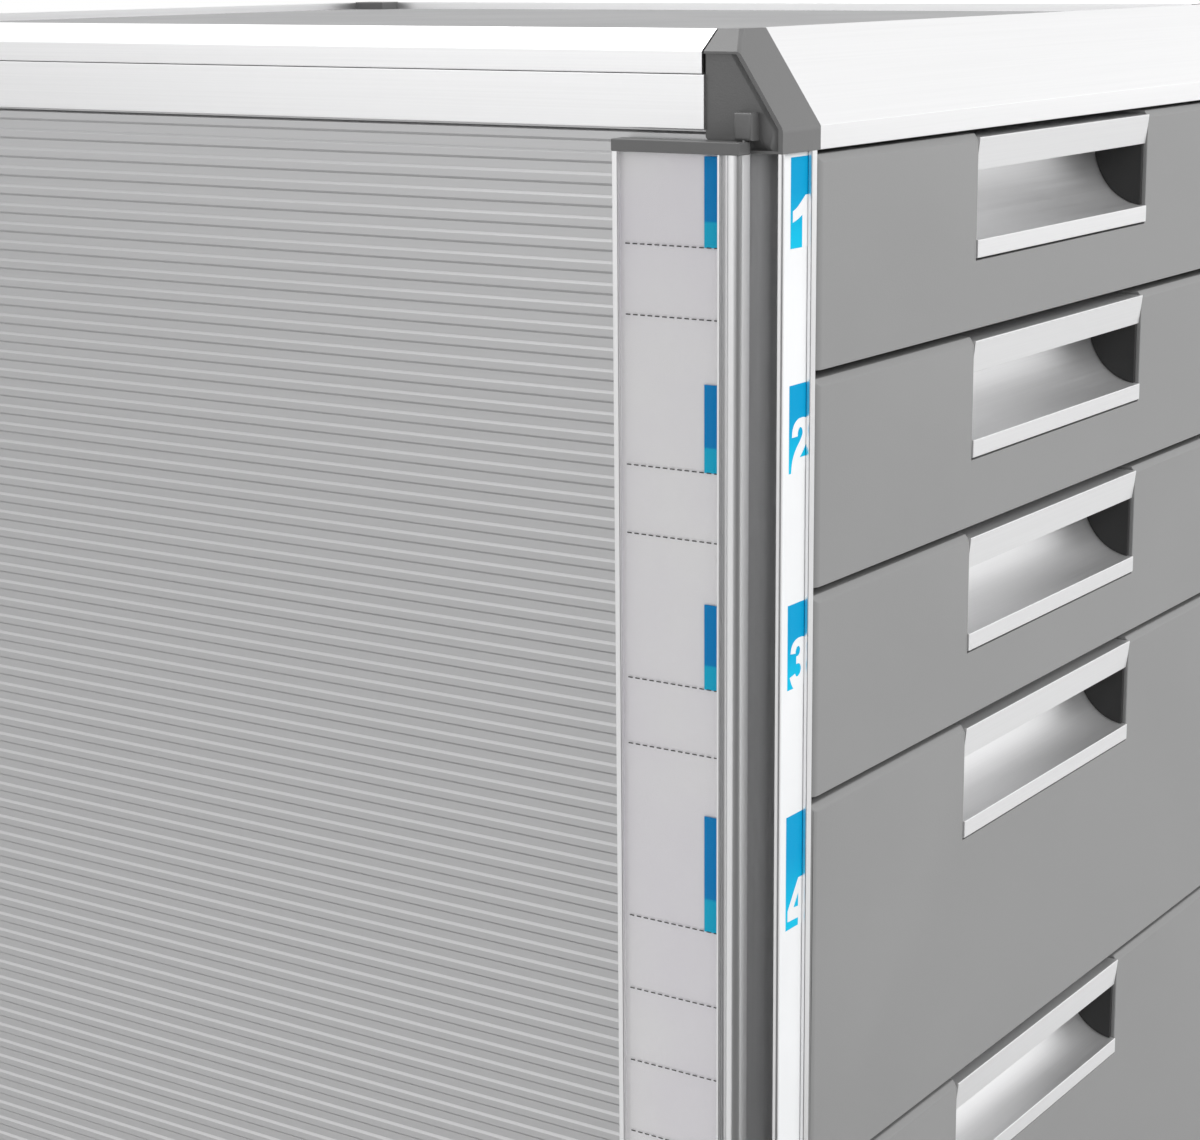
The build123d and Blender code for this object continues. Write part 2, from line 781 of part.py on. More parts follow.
def drawer_pull(space_top):
    """Extruded recessed pull: a slanted lip to hook the fingers under, a quarter-round cove and a sill."""
    top, lip_low, sill_top, bottom = pull_places(space_top)
    face = from_front(-pull_proud)
    lip_back = from_front(pull_slant)
    back = from_front(pull_depth)
    cove = lip_low - sill_top
    with BuildPart() as pull:
        with BuildSketch(Plane.YZ.offset(centre_x - pull_width / 2)):
            with BuildLine():
                Polyline((back + pull_wall, lip_low), (back + pull_wall, top), (face, top), (lip_back, lip_low),
                         (lip_back + pull_wall, lip_low), (face + 2 * pull_wall, top - pull_wall),
                         (back, top - pull_wall), (back, lip_low))
                EllipticalCenterArc((face, lip_low), back - face, cove, start_angle=-90, arc_size=90)
                Polyline((face, sill_top), (face, bottom), (face + pull_wall, bottom),
                         (face + pull_wall, sill_top - pull_wall))
                EllipticalCenterArc((face + pull_wall, lip_low), back - face, cove + pull_wall,
                                    start_angle=-90, arc_size=90)
            make_face()
        extrude(amount=pull_width)
    return pull


def pull_end_plates(space_top):
    """Two plates that close the ends of the cove, each trimmed to its curve."""
    top, lip_low, sill_top, bottom = pull_places(space_top)
    play = pull_end_clearance
    face = from_front(0)
    back = from_front(pull_depth - play)
    ceiling = top - pull_wall - play
    lip_back = from_front(pull_slant) + pull_wall + play
    with BuildPart() as plates:
        for side in (-1, 1):
            outer = centre_x + side * pull_width / 2
            with BuildSketch(Plane.YZ.offset(min(outer, outer - side * pull_end_thickness))):
                with BuildLine():
                    Polyline((back, lip_low), (back, ceiling), (lip_back + pull_wall, ceiling),
                             (lip_back, lip_low - play), (face, lip_low - play), (face, sill_top + play))
                    EllipticalCenterArc((face, lip_low), back - face, lip_low - sill_top - play,
                                        start_angle=-90, arc_size=90)
                make_face()
            extrude(amount=pull_end_thickness)
        cuboid((centre_x - pull_width / 2, from_front(0), bottom),
               (centre_x + pull_width / 2, from_front(pull_end_setback), top), Mode.SUBTRACT)
    return plates


def drawer_tray(space_top, pitch):
    """Moulded tray with rounded corners, and flanges along its sides that run in the liners."""
    bottom = space_top - pitch + tray_floor_gap
    top = flange_bottom(space_top) + flange_thickness
    near = from_front(front_depth)
    far = near + tray_length
    with BuildPart() as tray:
        cuboid((from_side(-1, tray_inset), near, bottom), (from_side(1, tray_inset), far, top))
        fillet(tray.edges().filter_by(Axis.Z), radius=tray_corner_radius)
        chamfer(tray.faces().sort_by(Axis.Z)[0].edges(), length=tray_floor_chamfer)
        offset(amount=-tray_wall, openings=tray.faces().sort_by(Axis.Z)[-1])
        for side in (-1, 1):
            cuboid((from_side(side, tray_inset), near + tray_corner_radius, top - flange_thickness),
                   (from_side(side, tray_inset - flange_width), far - tray_corner_radius, top))
        with BuildSketch(at_y(near + tray_wall)):
            with Locations(*clip_places(space_top, pitch)):
                Rectangle(tongue_width + 2 * tongue_clearance, tongue_height + 2 * tongue_clearance)
        extrude(amount=tray_wall, mode=Mode.SUBTRACT)
    return tray


for number, (space_top, pitch) in enumerate(zip(drawer_tops, drawer_pitches), start=1):
    save(drawer_front(space_top, pitch), f"drawer_{number}_front")
    save(drawer_pull(space_top), f"drawer_{number}_pull")
    save(pull_end_plates(space_top), f"drawer_{number}_pull_ends")
    save(drawer_tray(space_top, pitch), f"drawer_{number}_tray")


# Hinged card holder, folded back against the side

holder_low = stack_bottom + holder_inset
holder_high = stack_top - holder_inset
holder_length = holder_high - holder_low
slot_near = holder_bead + holder_groove + holder_inner_lip
slot_far = holder_width - holder_outer_lip
slot_top = holder_thickness - holder_lip_depth
slot_floor = slot_top - card_thickness - window_thickness - 2 * card_play
pivot = (from_side(holder_side, -pivot_proud), from_front(hinge_depth))


def holder_at(rise, depth):
    """X and Y of a place in the holder, by its rise off the inner face and its depth from the front edge."""
    return (from_side(holder_side, -holder_gap - rise), from_front(holder_front + depth))


def upright_at(piece, place, z):
    """The upright edge of a piece nearest to a place in plan."""
    return piece.edges().filter_by(Axis.Z).sort_by_distance((*place, z))[0]


with BuildPart() as card_holder:
    with BuildSketch(Plane.XY.offset(holder_low)):
        rectangle(holder_at(0, 0), holder_at(holder_thickness, holder_width))
        rectangle(holder_at(holder_thickness - holder_groove_depth, holder_bead),
                  holder_at(holder_thickness, holder_bead + holder_groove), Mode.SUBTRACT)
        rectangle(holder_at(slot_floor, slot_near), holder_at(holder_thickness, slot_far), Mode.SUBTRACT)
        rectangle(holder_at(slot_floor, slot_near - holder_undercut),
                  holder_at(slot_top, slot_far + holder_undercut), Mode.SUBTRACT)
        rectangle(holder_at(holder_wall, holder_bead),
                  holder_at(slot_floor - holder_wall, holder_width - holder_wall), Mode.SUBTRACT)
    extrude(amount=holder_length)
    fillet(upright_at(card_holder, holder_at(0, 0), holder_low), radius=holder_corner)
    fillet(upright_at(card_holder, holder_at(holder_thickness, 0), holder_low), radius=holder_bead_radius)
    fillet(upright_at(card_holder, holder_at(holder_thickness, holder_bead), holder_low),
           radius=holder_groove_depth - holder_fillet_margin)
save(card_holder, "card_holder")


def holder_cap(face_z, upward):
    """End cap of the holder: a rounded plate that turns on a pivot pin, with a plug below it."""
    plate = holder_cap_thickness * upward
    with BuildPart() as cap:
        with BuildSketch(Plane.XY.offset(face_z)):
            rectangle(holder_at(0, 0),
                      holder_at(holder_thickness + holder_cap_rim, holder_width + holder_cap_rim))
        extrude(amount=plate)
        fillet(upright_at(cap, holder_at(0, 0), face_z), radius=holder_corner)
        fillet(upright_at(cap, holder_at(holder_thickness, holder_width), face_z), radius=holder_cap_radius)
        play = holder_plug_clearance
        with BuildSketch(Plane.XY.offset(face_z)):
            rectangle(holder_at(holder_wall + play, holder_bead + play),
                      holder_at(slot_floor - holder_wall - play, holder_width - holder_wall - play))
        extrude(amount=-holder_plug_length * upward)
        with BuildSketch(Plane.XY.offset(face_z + plate)):
            with Locations(pivot):
                Circle(pivot_radius + pivot_clearance)
        extrude(amount=-(pivot_reach + pivot_end_gap) * upward, mode=Mode.SUBTRACT)
    return cap


save(holder_cap(holder_high, 1), "holder_cap_top")
save(holder_cap(holder_low, -1), "holder_cap_bottom")


def slot_sheet(floor, thickness):
    """Sheet that slides into the holder's slot."""
    with BuildPart() as sheet:
        with BuildSketch(Plane.XY.offset(holder_low)):
            rectangle(holder_at(floor, slot_near - holder_undercut + card_play),
                      holder_at(floor + thickness, slot_far + holder_undercut - card_play))
        extrude(amount=holder_length)
    return sheet


save(slot_sheet(slot_floor + card_play, card_thickness), "index_card")
save(slot_sheet(slot_floor + card_play + card_thickness, window_thickness), "card_window")

with BuildPart() as pivots:
    for lug_z, upward in ((top_lug_z, 1), (base_lug_z, -1)):
        with BuildSketch(Plane.XY.offset(lug_z + lug_bore_depth * upward)):
            with Locations(pivot):
                Circle(pivot_radius)
        extrude(amount=-(lug_bore_depth + lug_gap + pivot_reach) * upward)
save(pivots, "index_pivots")


# Feet, pushed into the base caps

foot_places = [(from_side(side, foot_inset), y) for side in (-1, 1)
               for y in (from_front(foot_inset), from_back(foot_inset))]

with BuildPart() as feet:
    with Locations(*[(x, y, foot_height / 2) for x, y in foot_places]):
        Cone(foot_radius, foot_top_radius, foot_height)
    with BuildSketch(Plane.XY.offset(foot_height)):
        with Locations(*foot_places):
            Rectangle(peg_width, peg_width)
    extrude(amount=peg_length)
save(feet, "feet")
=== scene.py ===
"""Desktop drawer organizer: an aluminium frame with ribbed sides, five moulded drawers with
recessed pulls, a number strip in the front post and a hinged card holder folded back on the side.

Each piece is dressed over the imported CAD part, which sets every size and place. X runs across the
front, Y to the back and Z up, in metres.
"""

import json
import math

import bmesh
import bpy
from bpy.props import FloatProperty, FloatVectorProperty, PointerProperty
from mathutils import Matrix, Vector


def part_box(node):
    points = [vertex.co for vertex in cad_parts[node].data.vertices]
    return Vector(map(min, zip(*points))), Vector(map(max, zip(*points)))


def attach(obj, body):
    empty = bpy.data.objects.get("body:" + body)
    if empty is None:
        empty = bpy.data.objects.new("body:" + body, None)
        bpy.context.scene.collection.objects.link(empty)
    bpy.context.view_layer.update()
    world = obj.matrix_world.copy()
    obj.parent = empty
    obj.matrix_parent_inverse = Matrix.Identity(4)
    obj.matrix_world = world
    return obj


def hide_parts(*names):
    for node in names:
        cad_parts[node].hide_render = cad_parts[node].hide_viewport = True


bl_info = {
    "name": "Drawer Organizer",
    "version": (1, 0, 0),
    "blender": (4, 5, 0),
    "location": "View3D > Sidebar > Organizer",
    "description": "Dresses a desktop drawer organizer and lights it in a plain studio",
    "category": "Object",
}

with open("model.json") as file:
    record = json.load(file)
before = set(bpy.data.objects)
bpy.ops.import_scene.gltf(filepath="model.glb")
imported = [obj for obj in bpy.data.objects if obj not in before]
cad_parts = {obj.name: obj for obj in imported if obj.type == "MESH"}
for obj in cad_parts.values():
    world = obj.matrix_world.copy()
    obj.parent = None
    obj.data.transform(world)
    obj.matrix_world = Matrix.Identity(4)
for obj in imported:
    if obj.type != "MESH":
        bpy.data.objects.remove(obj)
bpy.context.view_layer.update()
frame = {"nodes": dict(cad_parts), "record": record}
bodies = frame["record"]["behaviour"]["bodies"]
X, Y, Z = 0, 1, 2
MILLIMETRE = 0.001
WHITE = (1.0, 1.0, 1.0, 1.0)

# Points that are nearer than this, in metres, are one point.
SAME_PLACE = 0.000001
# Faces that meet at more than SHARP are shaded apart, and at more than EDGE_ANGLE a bevel may fit.
SHARP = math.radians(25)
EDGE_ANGLE = math.radians(32)
# At less than these, two faces lie in one plane, and a corner of an outline lies on a straight line.
FLAT_FACES = math.radians(0.6)
STRAIGHT_LINE = math.radians(0.5)
# A rounding takes at most this share of a side, and a cramped bevel needs this many radii of room.
LARGEST_SHARE = 0.42
BEVEL_ROOM = 2.05
# How far textures are drawn out: die lines along an extrusion, and waves all over the clear sheet.
DIE_STRETCH = 0.004
WAVE_STRETCH = 0.02
# Depth in metres of a texture's relief.
RELIEF_DEPTH = 0.00005


# Sizes and colours


def size(name, description, default):
    """A length that a user may change."""
    return FloatProperty(
        name=name, description=description, default=default, min=0.0, precision=5, unit="LENGTH"
    )


def angle(name, description, degrees):
    """An angle that a user may change."""
    return FloatProperty(name=name, description=description, default=math.radians(degrees), subtype="ANGLE")


def power(name, description, default):
    """The power of a lamp, which a user may change."""
    return FloatProperty(name=name, description=description, default=default, min=0.0, unit="POWER")


def offset(name, description, default):
    """A distance in X, Y and Z that a user may change."""
    return FloatVectorProperty(
        name=name, description=description, default=default, subtype="XYZ", unit="LENGTH"
    )


def colour(name, description, default):
    """A colour that a user may change."""
    return FloatVectorProperty(
        name=name, description=description, default=default, size=3, min=0.0, max=1.0, subtype="COLOR"
    )


class StageSettings(bpy.types.PropertyGroup):
    camera_offset: offset(
        "Camera Offset",
        "Place of the camera from the top of the left post's inner front edge",
        (-0.5048, -0.2826, 0.0410),
    )
    heading: angle("Heading", "Angle from straight ahead towards the right", 56.024)
    tilt: angle("Tilt", "Angle below the horizon", 13.031)
    roll: angle("Roll", "Turn about the line of sight", 0.529)
    lens: FloatProperty(
        name="Lens", description="Focal length on a 36 mm sensor", default=79.48, subtype="DISTANCE_CAMERA"
    )
    room_light: FloatProperty(
        name="Room Light", description="Strength of the even light", default=0.44, min=0.0
    )
    key_power: power("Key Power", "Power of the main lamp", 54.0)
    fill_power: power("Fill Power", "Power of the side lamp", 4.2)
    top_power: power("Top Power", "Power of the lamp above", 14.0)
    right_power: power("Right Power", "Power of the low lamp at the right", 2.6)
    aim_height: size("Aim Height", "Height that the lamps and the upright flag face", 0.2)
    flag_turn: angle("Flag Turn", "Angle of the upright flag from the left towards the front", 75.0)
    flag_distance: size("Flag Distance", "Distance of the upright flag from the object", 1.7)
    flag_width: size("Flag Width", "Width of the upright flag", 3.0)
    mat_width: size("Mat Width", "Width of the flag that lies on the floor at the left", 3.0)
    mat_corner: offset("Mat Corner", "Place of that flag's corner beside the object", (0.05, -0.1, 0.004))
    flag_colour: colour("Flag Colour", "Cloth of both flags, which only reflections see", (0.15, 0.15, 0.15))
    floor_width: size("Floor Width", "Width of the studio floor", 16.0)
    floor_colour: colour("Floor", "Colour of the studio floor", (0.82, 0.82, 0.82))


class EdgeSettings(bpy.types.PropertyGroup):
    metal: size("Metal Edges", "Radius of the edges of extruded pieces", 0.00022)
    moulded: size("Moulded Edges", "Radius of the edges of moulded pieces", 0.00035)
    caps: size("Cap Edges", "Radius of the edges of the corner caps", 0.00038)
    holder_caps: size("Holder Cap Edges", "Radius of the edges of the holder's end caps", 0.0007)
    tray: size("Tray Edges", "Radius of the edges of the trays", 0.0005)


class RibSettings(bpy.types.PropertyGroup):
    pitch: size("Pitch", "Distance from rib to rib", 0.00487)
    foot_width: size("Foot Width", "Width of a rib at the sheet", 0.00285)
    top_width: size("Top Width", "Width of a rib at its face", 0.00165)
    height: size("Height", "How far a rib stands out of the sheet", 0.0005)
    radius: size("Edge Radius", "Radius of a rib's edges", 0.00012)
    offset: size("Offset", "From the band above to the first rib's edge", 0.00045)


class PrintSettings(bpy.types.PropertyGroup):
    ink_depth: size("Ink Depth", "Thickness of the printed layer", 0.00003)
    deep_drawer: size("Deep Drawer", "Height from which a drawer gets a long field", 0.06)
    tab_inset: size("Tab Inset", "From the card's front edge to its tabs", 0.0006)
    tab_width: size("Tab Width", "Width of a coloured tab on the card", 0.0037)
    tab_gap: size("Tab Gap", "From the top of a drawer to its tab", 0.0006)
    short_tab: size("Short Tab", "From the top of a shallow drawer to the end of its tab", 0.0201)
    long_tab: size("Long Tab", "From the top of a deep drawer to the end of its tab", 0.0281)
    short_rows: size("Short Rows", "Distance between the dashed rows of a shallow drawer", 0.0156)
    long_rows: size("Long Rows", "Distance between the dashed rows of a deep drawer", 0.018)
    dash: size("Dash", "Length of a dash", 0.0012)
    dash_pitch: size("Dash Pitch", "Distance from dash to dash", 0.0019)
    dash_width: size("Dash Width", "Thickness of a dashed row", 0.00026)
    row_margin: size("Row Margin", "From the end of a dashed row to the card's back edge", 0.001)
    field_inset: size("Field Inset", "From the body's side to a number field", 0.0054)
    field_gap: size("Field Gap", "From the top of a drawer to its number field", 0.001)
    short_field: size("Short Field", "From the top of a shallow drawer to its field's end", 0.0205)
    long_field: size("Long Field", "From the top of a deep drawer to its field's end", 0.0281)


class ColourSettings(bpy.types.PropertyGroup):
    aluminium: colour("Aluminium", "Anodised posts, rails and bands", (0.88, 0.88, 0.885))
    sheet: colour("Ribbed Sheet", "Anodised side sheets", (0.53, 0.53, 0.535))
    pull: colour("Pull", "Anodised pulls", (0.84, 0.84, 0.845))
    fronts: colour("Fronts", "Moulded drawer fronts", (0.27, 0.27, 0.27))
    caps: colour("Caps", "Moulded corner caps", (0.125, 0.125, 0.125))
    pull_ends: colour("Pull Ends", "End plates of the pulls", (0.035, 0.035, 0.035))
    trays: colour("Trays", "Moulded trays", (0.36, 0.36, 0.365))
    liners: colour("Liners", "Runner liners", (0.22, 0.22, 0.225))
    panels: colour("Panels", "Flat top, base and back sheets", (0.30, 0.30, 0.305))
    card: colour("Card", "Paper of the index card", (0.985, 0.96, 1.0))
    strip: colour("Strip", "White number strip", (0.86, 0.87, 0.88))
    ink: colour("Ink", "Dark print", (0.02, 0.02, 0.02))
    tab_blue: colour("Tab Blue", "Upper part of a tab on the card", (0.001, 0.24, 0.6))
    tab_teal: colour("Tab Teal", "Lower end of a tab on the card", (0.008, 0.45, 0.7))
    field_blue: colour("Field Blue", "Upper part of a number field", (0.003, 0.34, 0.63))
    field_cyan: colour("Field Cyan", "Lower end of a number field", (0.005, 0.52, 0.78))
    steel: colour("Steel", "Pivot pins", (0.3, 0.3, 0.3))
    rubber: colour("Rubber", "Feet", (0.03, 0.03, 0.03))


# Node helpers


def add(tree, kind, inputs=None, **settings):
    """A node with its settings, and its inputs set to plain values or linked to other nodes' outputs."""
    made = tree.nodes.new(kind)
    for name, value in settings.items():
        setattr(made, name, value)
    for name, value in (inputs or {}).items():
        if isinstance(value, bpy.types.NodeSocket):
            tree.links.new(value, made.inputs[name])
        else:
            made.inputs[name].default_value = value
    return made


def calculate(tree, operation, first, second):
    """The result of a calculation with two values."""
    return add(tree, "ShaderNodeMath", {0: first, 1: second}, operation=operation).outputs["Value"]


def vector(tree, sides):
    """A vector of some values by axis, with 0 for the axes that aren't named."""
    return add(tree, "ShaderNodeCombineXYZ", sides).outputs["Vector"]


def blend_colours(tree, mask, first, second):
    """A colour that goes from the first to the second as the mask goes from 0 to 1."""
    ends = {"Factor": mask, "A": (*first, 1.0), "B": (*second, 1.0)}
    mix = add(tree, "ShaderNodeMix", ends, data_type="RGBA")
    return next(socket for socket in mix.outputs if socket.type == "RGBA")


def blend_values(tree, mask, low, high):
    """A value that goes from low to high as the mask goes from 0 to 1."""
    ends = {"Value": mask, "To Min": low, "To Max": high}
    return add(tree, "ShaderNodeMapRange", ends).outputs["Result"]


def shader_group(name, values):
    """An empty shader node group with a vector and some values in, and a tone and a height out."""
    group = bpy.data.node_groups.new(name, "ShaderNodeTree")
    group.interface.new_socket("Vector", in_out="INPUT", socket_type="NodeSocketVector")
    for label, default in values.items():
        socket = group.interface.new_socket(label, in_out="INPUT", socket_type="NodeSocketFloat")
        socket.default_value = default
    group.interface.new_socket("Tone", in_out="OUTPUT", socket_type="NodeSocketFloat")
    group.interface.new_socket("Height", in_out="OUTPUT", socket_type="NodeSocketFloat")
    given = group.nodes.new("NodeGroupInput").outputs
    out = group.nodes.new("NodeGroupOutput").inputs
    return group, given, out


def noise(group, given, scale, detail, roughness=0.5):
    """A noise over the group's vector, as fine as the group's named value says."""
    inputs = {"Vector": given["Vector"], "Scale": given[scale], "Detail": detail, "Roughness": roughness}
    return add(group, "ShaderNodeTexNoise", inputs).outputs["Fac"]


def spread_tone(group, cloudy):
    """A tone from 0 to 1 made of a noise, which keeps near its middle."""
    inputs = {"Value": cloudy, "From Min": 0.35, "From Max": 0.65}
    return add(group, "ShaderNodeMapRange", inputs).outputs["Result"]


def drawn_lines():
    """Fine lines that the die leaves along an extrusion, over a slow change of tone."""
    group, given, out = shader_group("drawn lines", {"Fineness": 2400.0, "Cloudiness": 18.0})
    fine = noise(group, given, "Fineness", detail=3.0, roughness=0.6)
    slow = noise(group, given, "Cloudiness", detail=2.0)
    both = add(group, "ShaderNodeMix", {"Factor": 0.2, "A": fine, "B": slow}, data_type="FLOAT")
    group.links.new(spread_tone(group, both.outputs["Result"]), out["Tone"])
    group.links.new(fine, out["Height"])
    return group


def moulded_skin():
    """The fine even grain of a spark-eroded mould, over faint flow clouds."""
    group, given, out = shader_group("moulded skin", {"Grain": 2600.0, "Cloudiness": 25.0})
    grain = noise(group, given, "Grain", detail=2.0)
    pitted = {"Vector": given["Vector"], "Scale": given["Grain"]}
    cells = add(group, "ShaderNodeTexVoronoi", pitted, feature="SMOOTH_F1").outputs["Distance"]
    clouds = noise(group, given, "Cloudiness", detail=3.0)
    group.links.new(spread_tone(group, clouds), out["Tone"])
    group.links.new(calculate(group, "ADD", grain, cells), out["Height"])
    return group


def shared_group(name, maker):
    """The node group of that name, made the first time it is asked for."""
    return bpy.data.node_groups.get(name) or maker()


def new_material(name):
    """A material with its shader, and the object's coordinates."""
    material = bpy.data.materials.new(name)
    material.use_nodes = True
    tree = material.node_tree
    return material, tree, tree.nodes["Principled BSDF"], add(tree, "ShaderNodeTexCoord").outputs["Object"]


def add_texture(tree, shader, group, place, stretch, colours, roughness, relief):
    """Feed a shader's colour, roughness and relief from a group's tone and height."""
    mapped = add(tree, "ShaderNodeMapping", {"Vector": place, "Scale": stretch}).outputs["Vector"]
    skin = add(tree, "ShaderNodeGroup", {"Vector": mapped}, node_tree=group).outputs
    raised = {"Strength": relief, "Distance": RELIEF_DEPTH, "Height": skin["Height"]}
    bump = add(tree, "ShaderNodeBump", raised)
    tree.links.new(blend_colours(tree, skin["Tone"], *colours), shader.inputs["Base Color"])
    tree.links.new(blend_values(tree, skin["Tone"], *roughness), shader.inputs["Roughness"])
    tree.links.new(bump.outputs["Normal"], shader.inputs["Normal"])


def tinted(base, share_of_light):
    """A colour made lighter or darker by a share."""
    return tuple(min(1.0, channel * share_of_light) for channel in base)


def anodised(name, base, along, roughness=(0.3, 0.34), relief=0.15, metal=1.0):
    """Satin anodised aluminium with die lines along one axis."""
    material, tree, shader, place = new_material(name)
    stretch = tuple(DIE_STRETCH if axis == along else 1.0 for axis in (X, Y, Z))
    colours = (tinted(base, 0.98), tinted(base, 1.015))
    lines = shared_group("drawn lines", drawn_lines)
    add_texture(tree, shader, lines, place, stretch, colours, roughness, relief)
    shader.inputs["Metallic"].default_value = metal
    return material


def moulded(name, base, roughness=(0.46, 0.56), relief=0.35, gloss=0.5, mottle=0.03):
    """Satin moulded plastic with a fine grain."""
    material, tree, shader, place = new_material(name)
    colours = (tinted(base, 1 - mottle), tinted(base, 1 + mottle))
    skin = shared_group("moulded skin", moulded_skin)
    add_texture(tree, shader, skin, place, (1.0, 1.0, 1.0), colours, roughness, relief)
    shader.inputs["Specular IOR Level"].default_value = gloss
    return material


def cap_plastic(name, base):
    """The smoother and glossier plastic of the caps."""
    return moulded(name, base, roughness=(0.36, 0.42), gloss=0.75)


def printed(name, top, bottom, start, stop):
    """Ink that changes colour down each field, between two shares of its height on its own map."""
    material, tree, shader, place = new_material(name)
    skin = shared_group("moulded skin", moulded_skin)
    grain = add(tree, "ShaderNodeGroup", {"Vector": place}, node_tree=skin).outputs["Tone"]
    spot = add(tree, "ShaderNodeUVMap", uv_map="print").outputs["UV"]
    fall = add(tree, "ShaderNodeSeparateXYZ", {"Vector": spot}).outputs["Y"]
    ends = {"Value": fall, "From Min": start, "From Max": stop}
    fade = add(tree, "ShaderNodeMapRange", ends, interpolation_type="SMOOTHSTEP").outputs["Result"]
    tree.links.new(blend_colours(tree, fade, top, bottom), shader.inputs["Base Color"])
    tree.links.new(blend_values(tree, grain, 0.5, 0.6), shader.inputs["Roughness"])
    shader.inputs["Specular IOR Level"].default_value = 0.06
    return material


def clear_sheet(name):
    """Clear plastic sheet with faint waviness."""
    material, tree, shader, place = new_material(name)
    skin = shared_group("moulded skin", moulded_skin)
    stretch = (WAVE_STRETCH, WAVE_STRETCH, WAVE_STRETCH)
    colours = (WHITE[:3], WHITE[:3])
    add_texture(tree, shader, skin, place, stretch, colours, roughness=(0.12, 0.2), relief=0.05)
    shader.inputs["Alpha"].default_value = 0.012
    shader.inputs["Specular IOR Level"].default_value = 0.12
    return material


# Shape helpers


def carcass_or_drawer(node):
    """Name of the CAD body that a node rides on: the carcass, a drawer or the card holder."""
    return next(body for body, members in bodies.items() if node in members)


def place(name, mesh, material, node, slot, replaces=True):
    """Put a finished mesh in the scene, on the body of its CAD node."""
    mesh.name = name
    mesh.materials.clear()
    mesh.materials.append(material)
    piece = bpy.data.objects.new(name, mesh)
    bpy.context.scene.collection.objects.link(piece)
    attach(piece, carcass_or_drawer(node))
    if replaces:
        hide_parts(node)
    return piece


def shade(mesh):
    """Smooth shading, with sharp edges where faces meet steeply."""
    mesh.shade_smooth()
    mesh.set_sharp_from_angle(angle=SHARP)


def keep_flats(piece):
    """Let the large faces set the normals, so that flats stay flat beside small roundings."""
    weighted = piece.modifiers.new("flats", "WEIGHTED_NORMAL")
    weighted.keep_sharp = True


def merged_copy(node):
    """The CAD node's surface as joined faces in an editable mesh."""
    shape = bmesh.new()
    shape.from_mesh(frame["nodes"][node].data)
    bmesh.ops.remove_doubles(shape, verts=shape.verts, dist=SAME_PLACE)
    return shape


def chained(edges):
    """Edges as closed loops of corners."""
    beside = {}
    for edge in edges:
        first, second = edge.verts
        beside.setdefault(first, []).append(second)
        beside.setdefault(second, []).append(first)
    loops = []
    while beside:
        corner = next(iter(beside))
        loop = []
        while corner is not None:
            loop.append(corner)
            ahead = beside.pop(corner)
            corner = next((other for other in ahead if other in beside), None)
        loops.append(loop)
    return loops


def end_loops(shape, along, start):
    """Outlines of the flat end where an extrusion starts, as points across it."""
    ends = {
        face for face in shape.faces if all(abs(v.co[along] - start) < SAME_PLACE for v in face.verts)
    }
    rim = [edge for edge in shape.edges if sum(face in ends for face in edge.link_faces) == 1]
    across, up = (along + 1) % 3, (along + 2) % 3
    return [[Vector((v.co[across], v.co[up])) for v in loop] for loop in chained(rim)]


def rounded(loop, radius, steps=4):
    """An outline with each sharp corner turned into a small arc."""
    outline = []
    for before, corner, after in zip(loop[-1:] + loop[:-1], loop, loop[1:] + loop[:1]):
        back, ahead = before - corner, after - corner
        turn = math.pi - back.angle(ahead)
        if turn < STRAIGHT_LINE:
            continue
        if turn < SHARP:
            outline.append(corner)
            continue
        side = min(back.length, ahead.length)
        reach = min(radius * math.tan(turn / 2), LARGEST_SHARE * side)
        arm = reach / math.tan(turn / 2) / math.cos(turn / 2)
        centre = corner + (back.normalized() + ahead.normalized()).normalized() * arm
        start = corner + back.normalized() * reach - centre
        way = 1 if back.x * ahead.y - back.y * ahead.x < 0 else -1
        for step in range(steps + 1):
            outline.append(centre + Matrix.Rotation(way * turn * step / steps, 2) @ start)
    return outline


def extrusion_mesh(node, along, radius):
    """A CAD extrusion again, with its edges rounded along its whole length."""
    shape = merged_copy(node)
    start = min(v.co[along] for v in shape.verts)
    stop = max(v.co[along] for v in shape.verts)
    loops = [rounded(loop, radius) for loop in end_loops(shape, along, start)]
    shape.free()
    across, up = (along + 1) % 3, (along + 2) % 3
    made = bmesh.new()
    for loop in loops:
        rings = []
        for level in (start, stop):
            ring = []
            for point in loop:
                corner = [0.0, 0.0, 0.0]
                corner[along], corner[across], corner[up] = level, point.x, point.y
                ring.append(made.verts.new(corner))
            rings.append(ring)
        low, high = rings
        for index in range(len(low)):
            beside = (index + 1) % len(low)
            made.faces.new((low[index], low[beside], high[beside], high[index]))
    for level in (start, stop):
        rim = [
            edge for edge in made.edges if all(abs(v.co[along] - level) < SAME_PLACE for v in edge.verts)
        ]
        bmesh.ops.triangle_fill(made, edges=rim, use_beauty=True)
    bmesh.ops.recalc_face_normals(made, faces=made.faces)
    mesh = bpy.data.meshes.new(node)
    made.to_mesh(mesh)
    made.free()
    shade(mesh)
    return mesh


def dress_extrusion(node, along, radius, material, slot):
    """Replace a CAD extrusion by one with rounded edges."""
    piece = place(f"{node}_dressed", extrusion_mesh(node, along, radius), material, node, slot)
    keep_flats(piece)


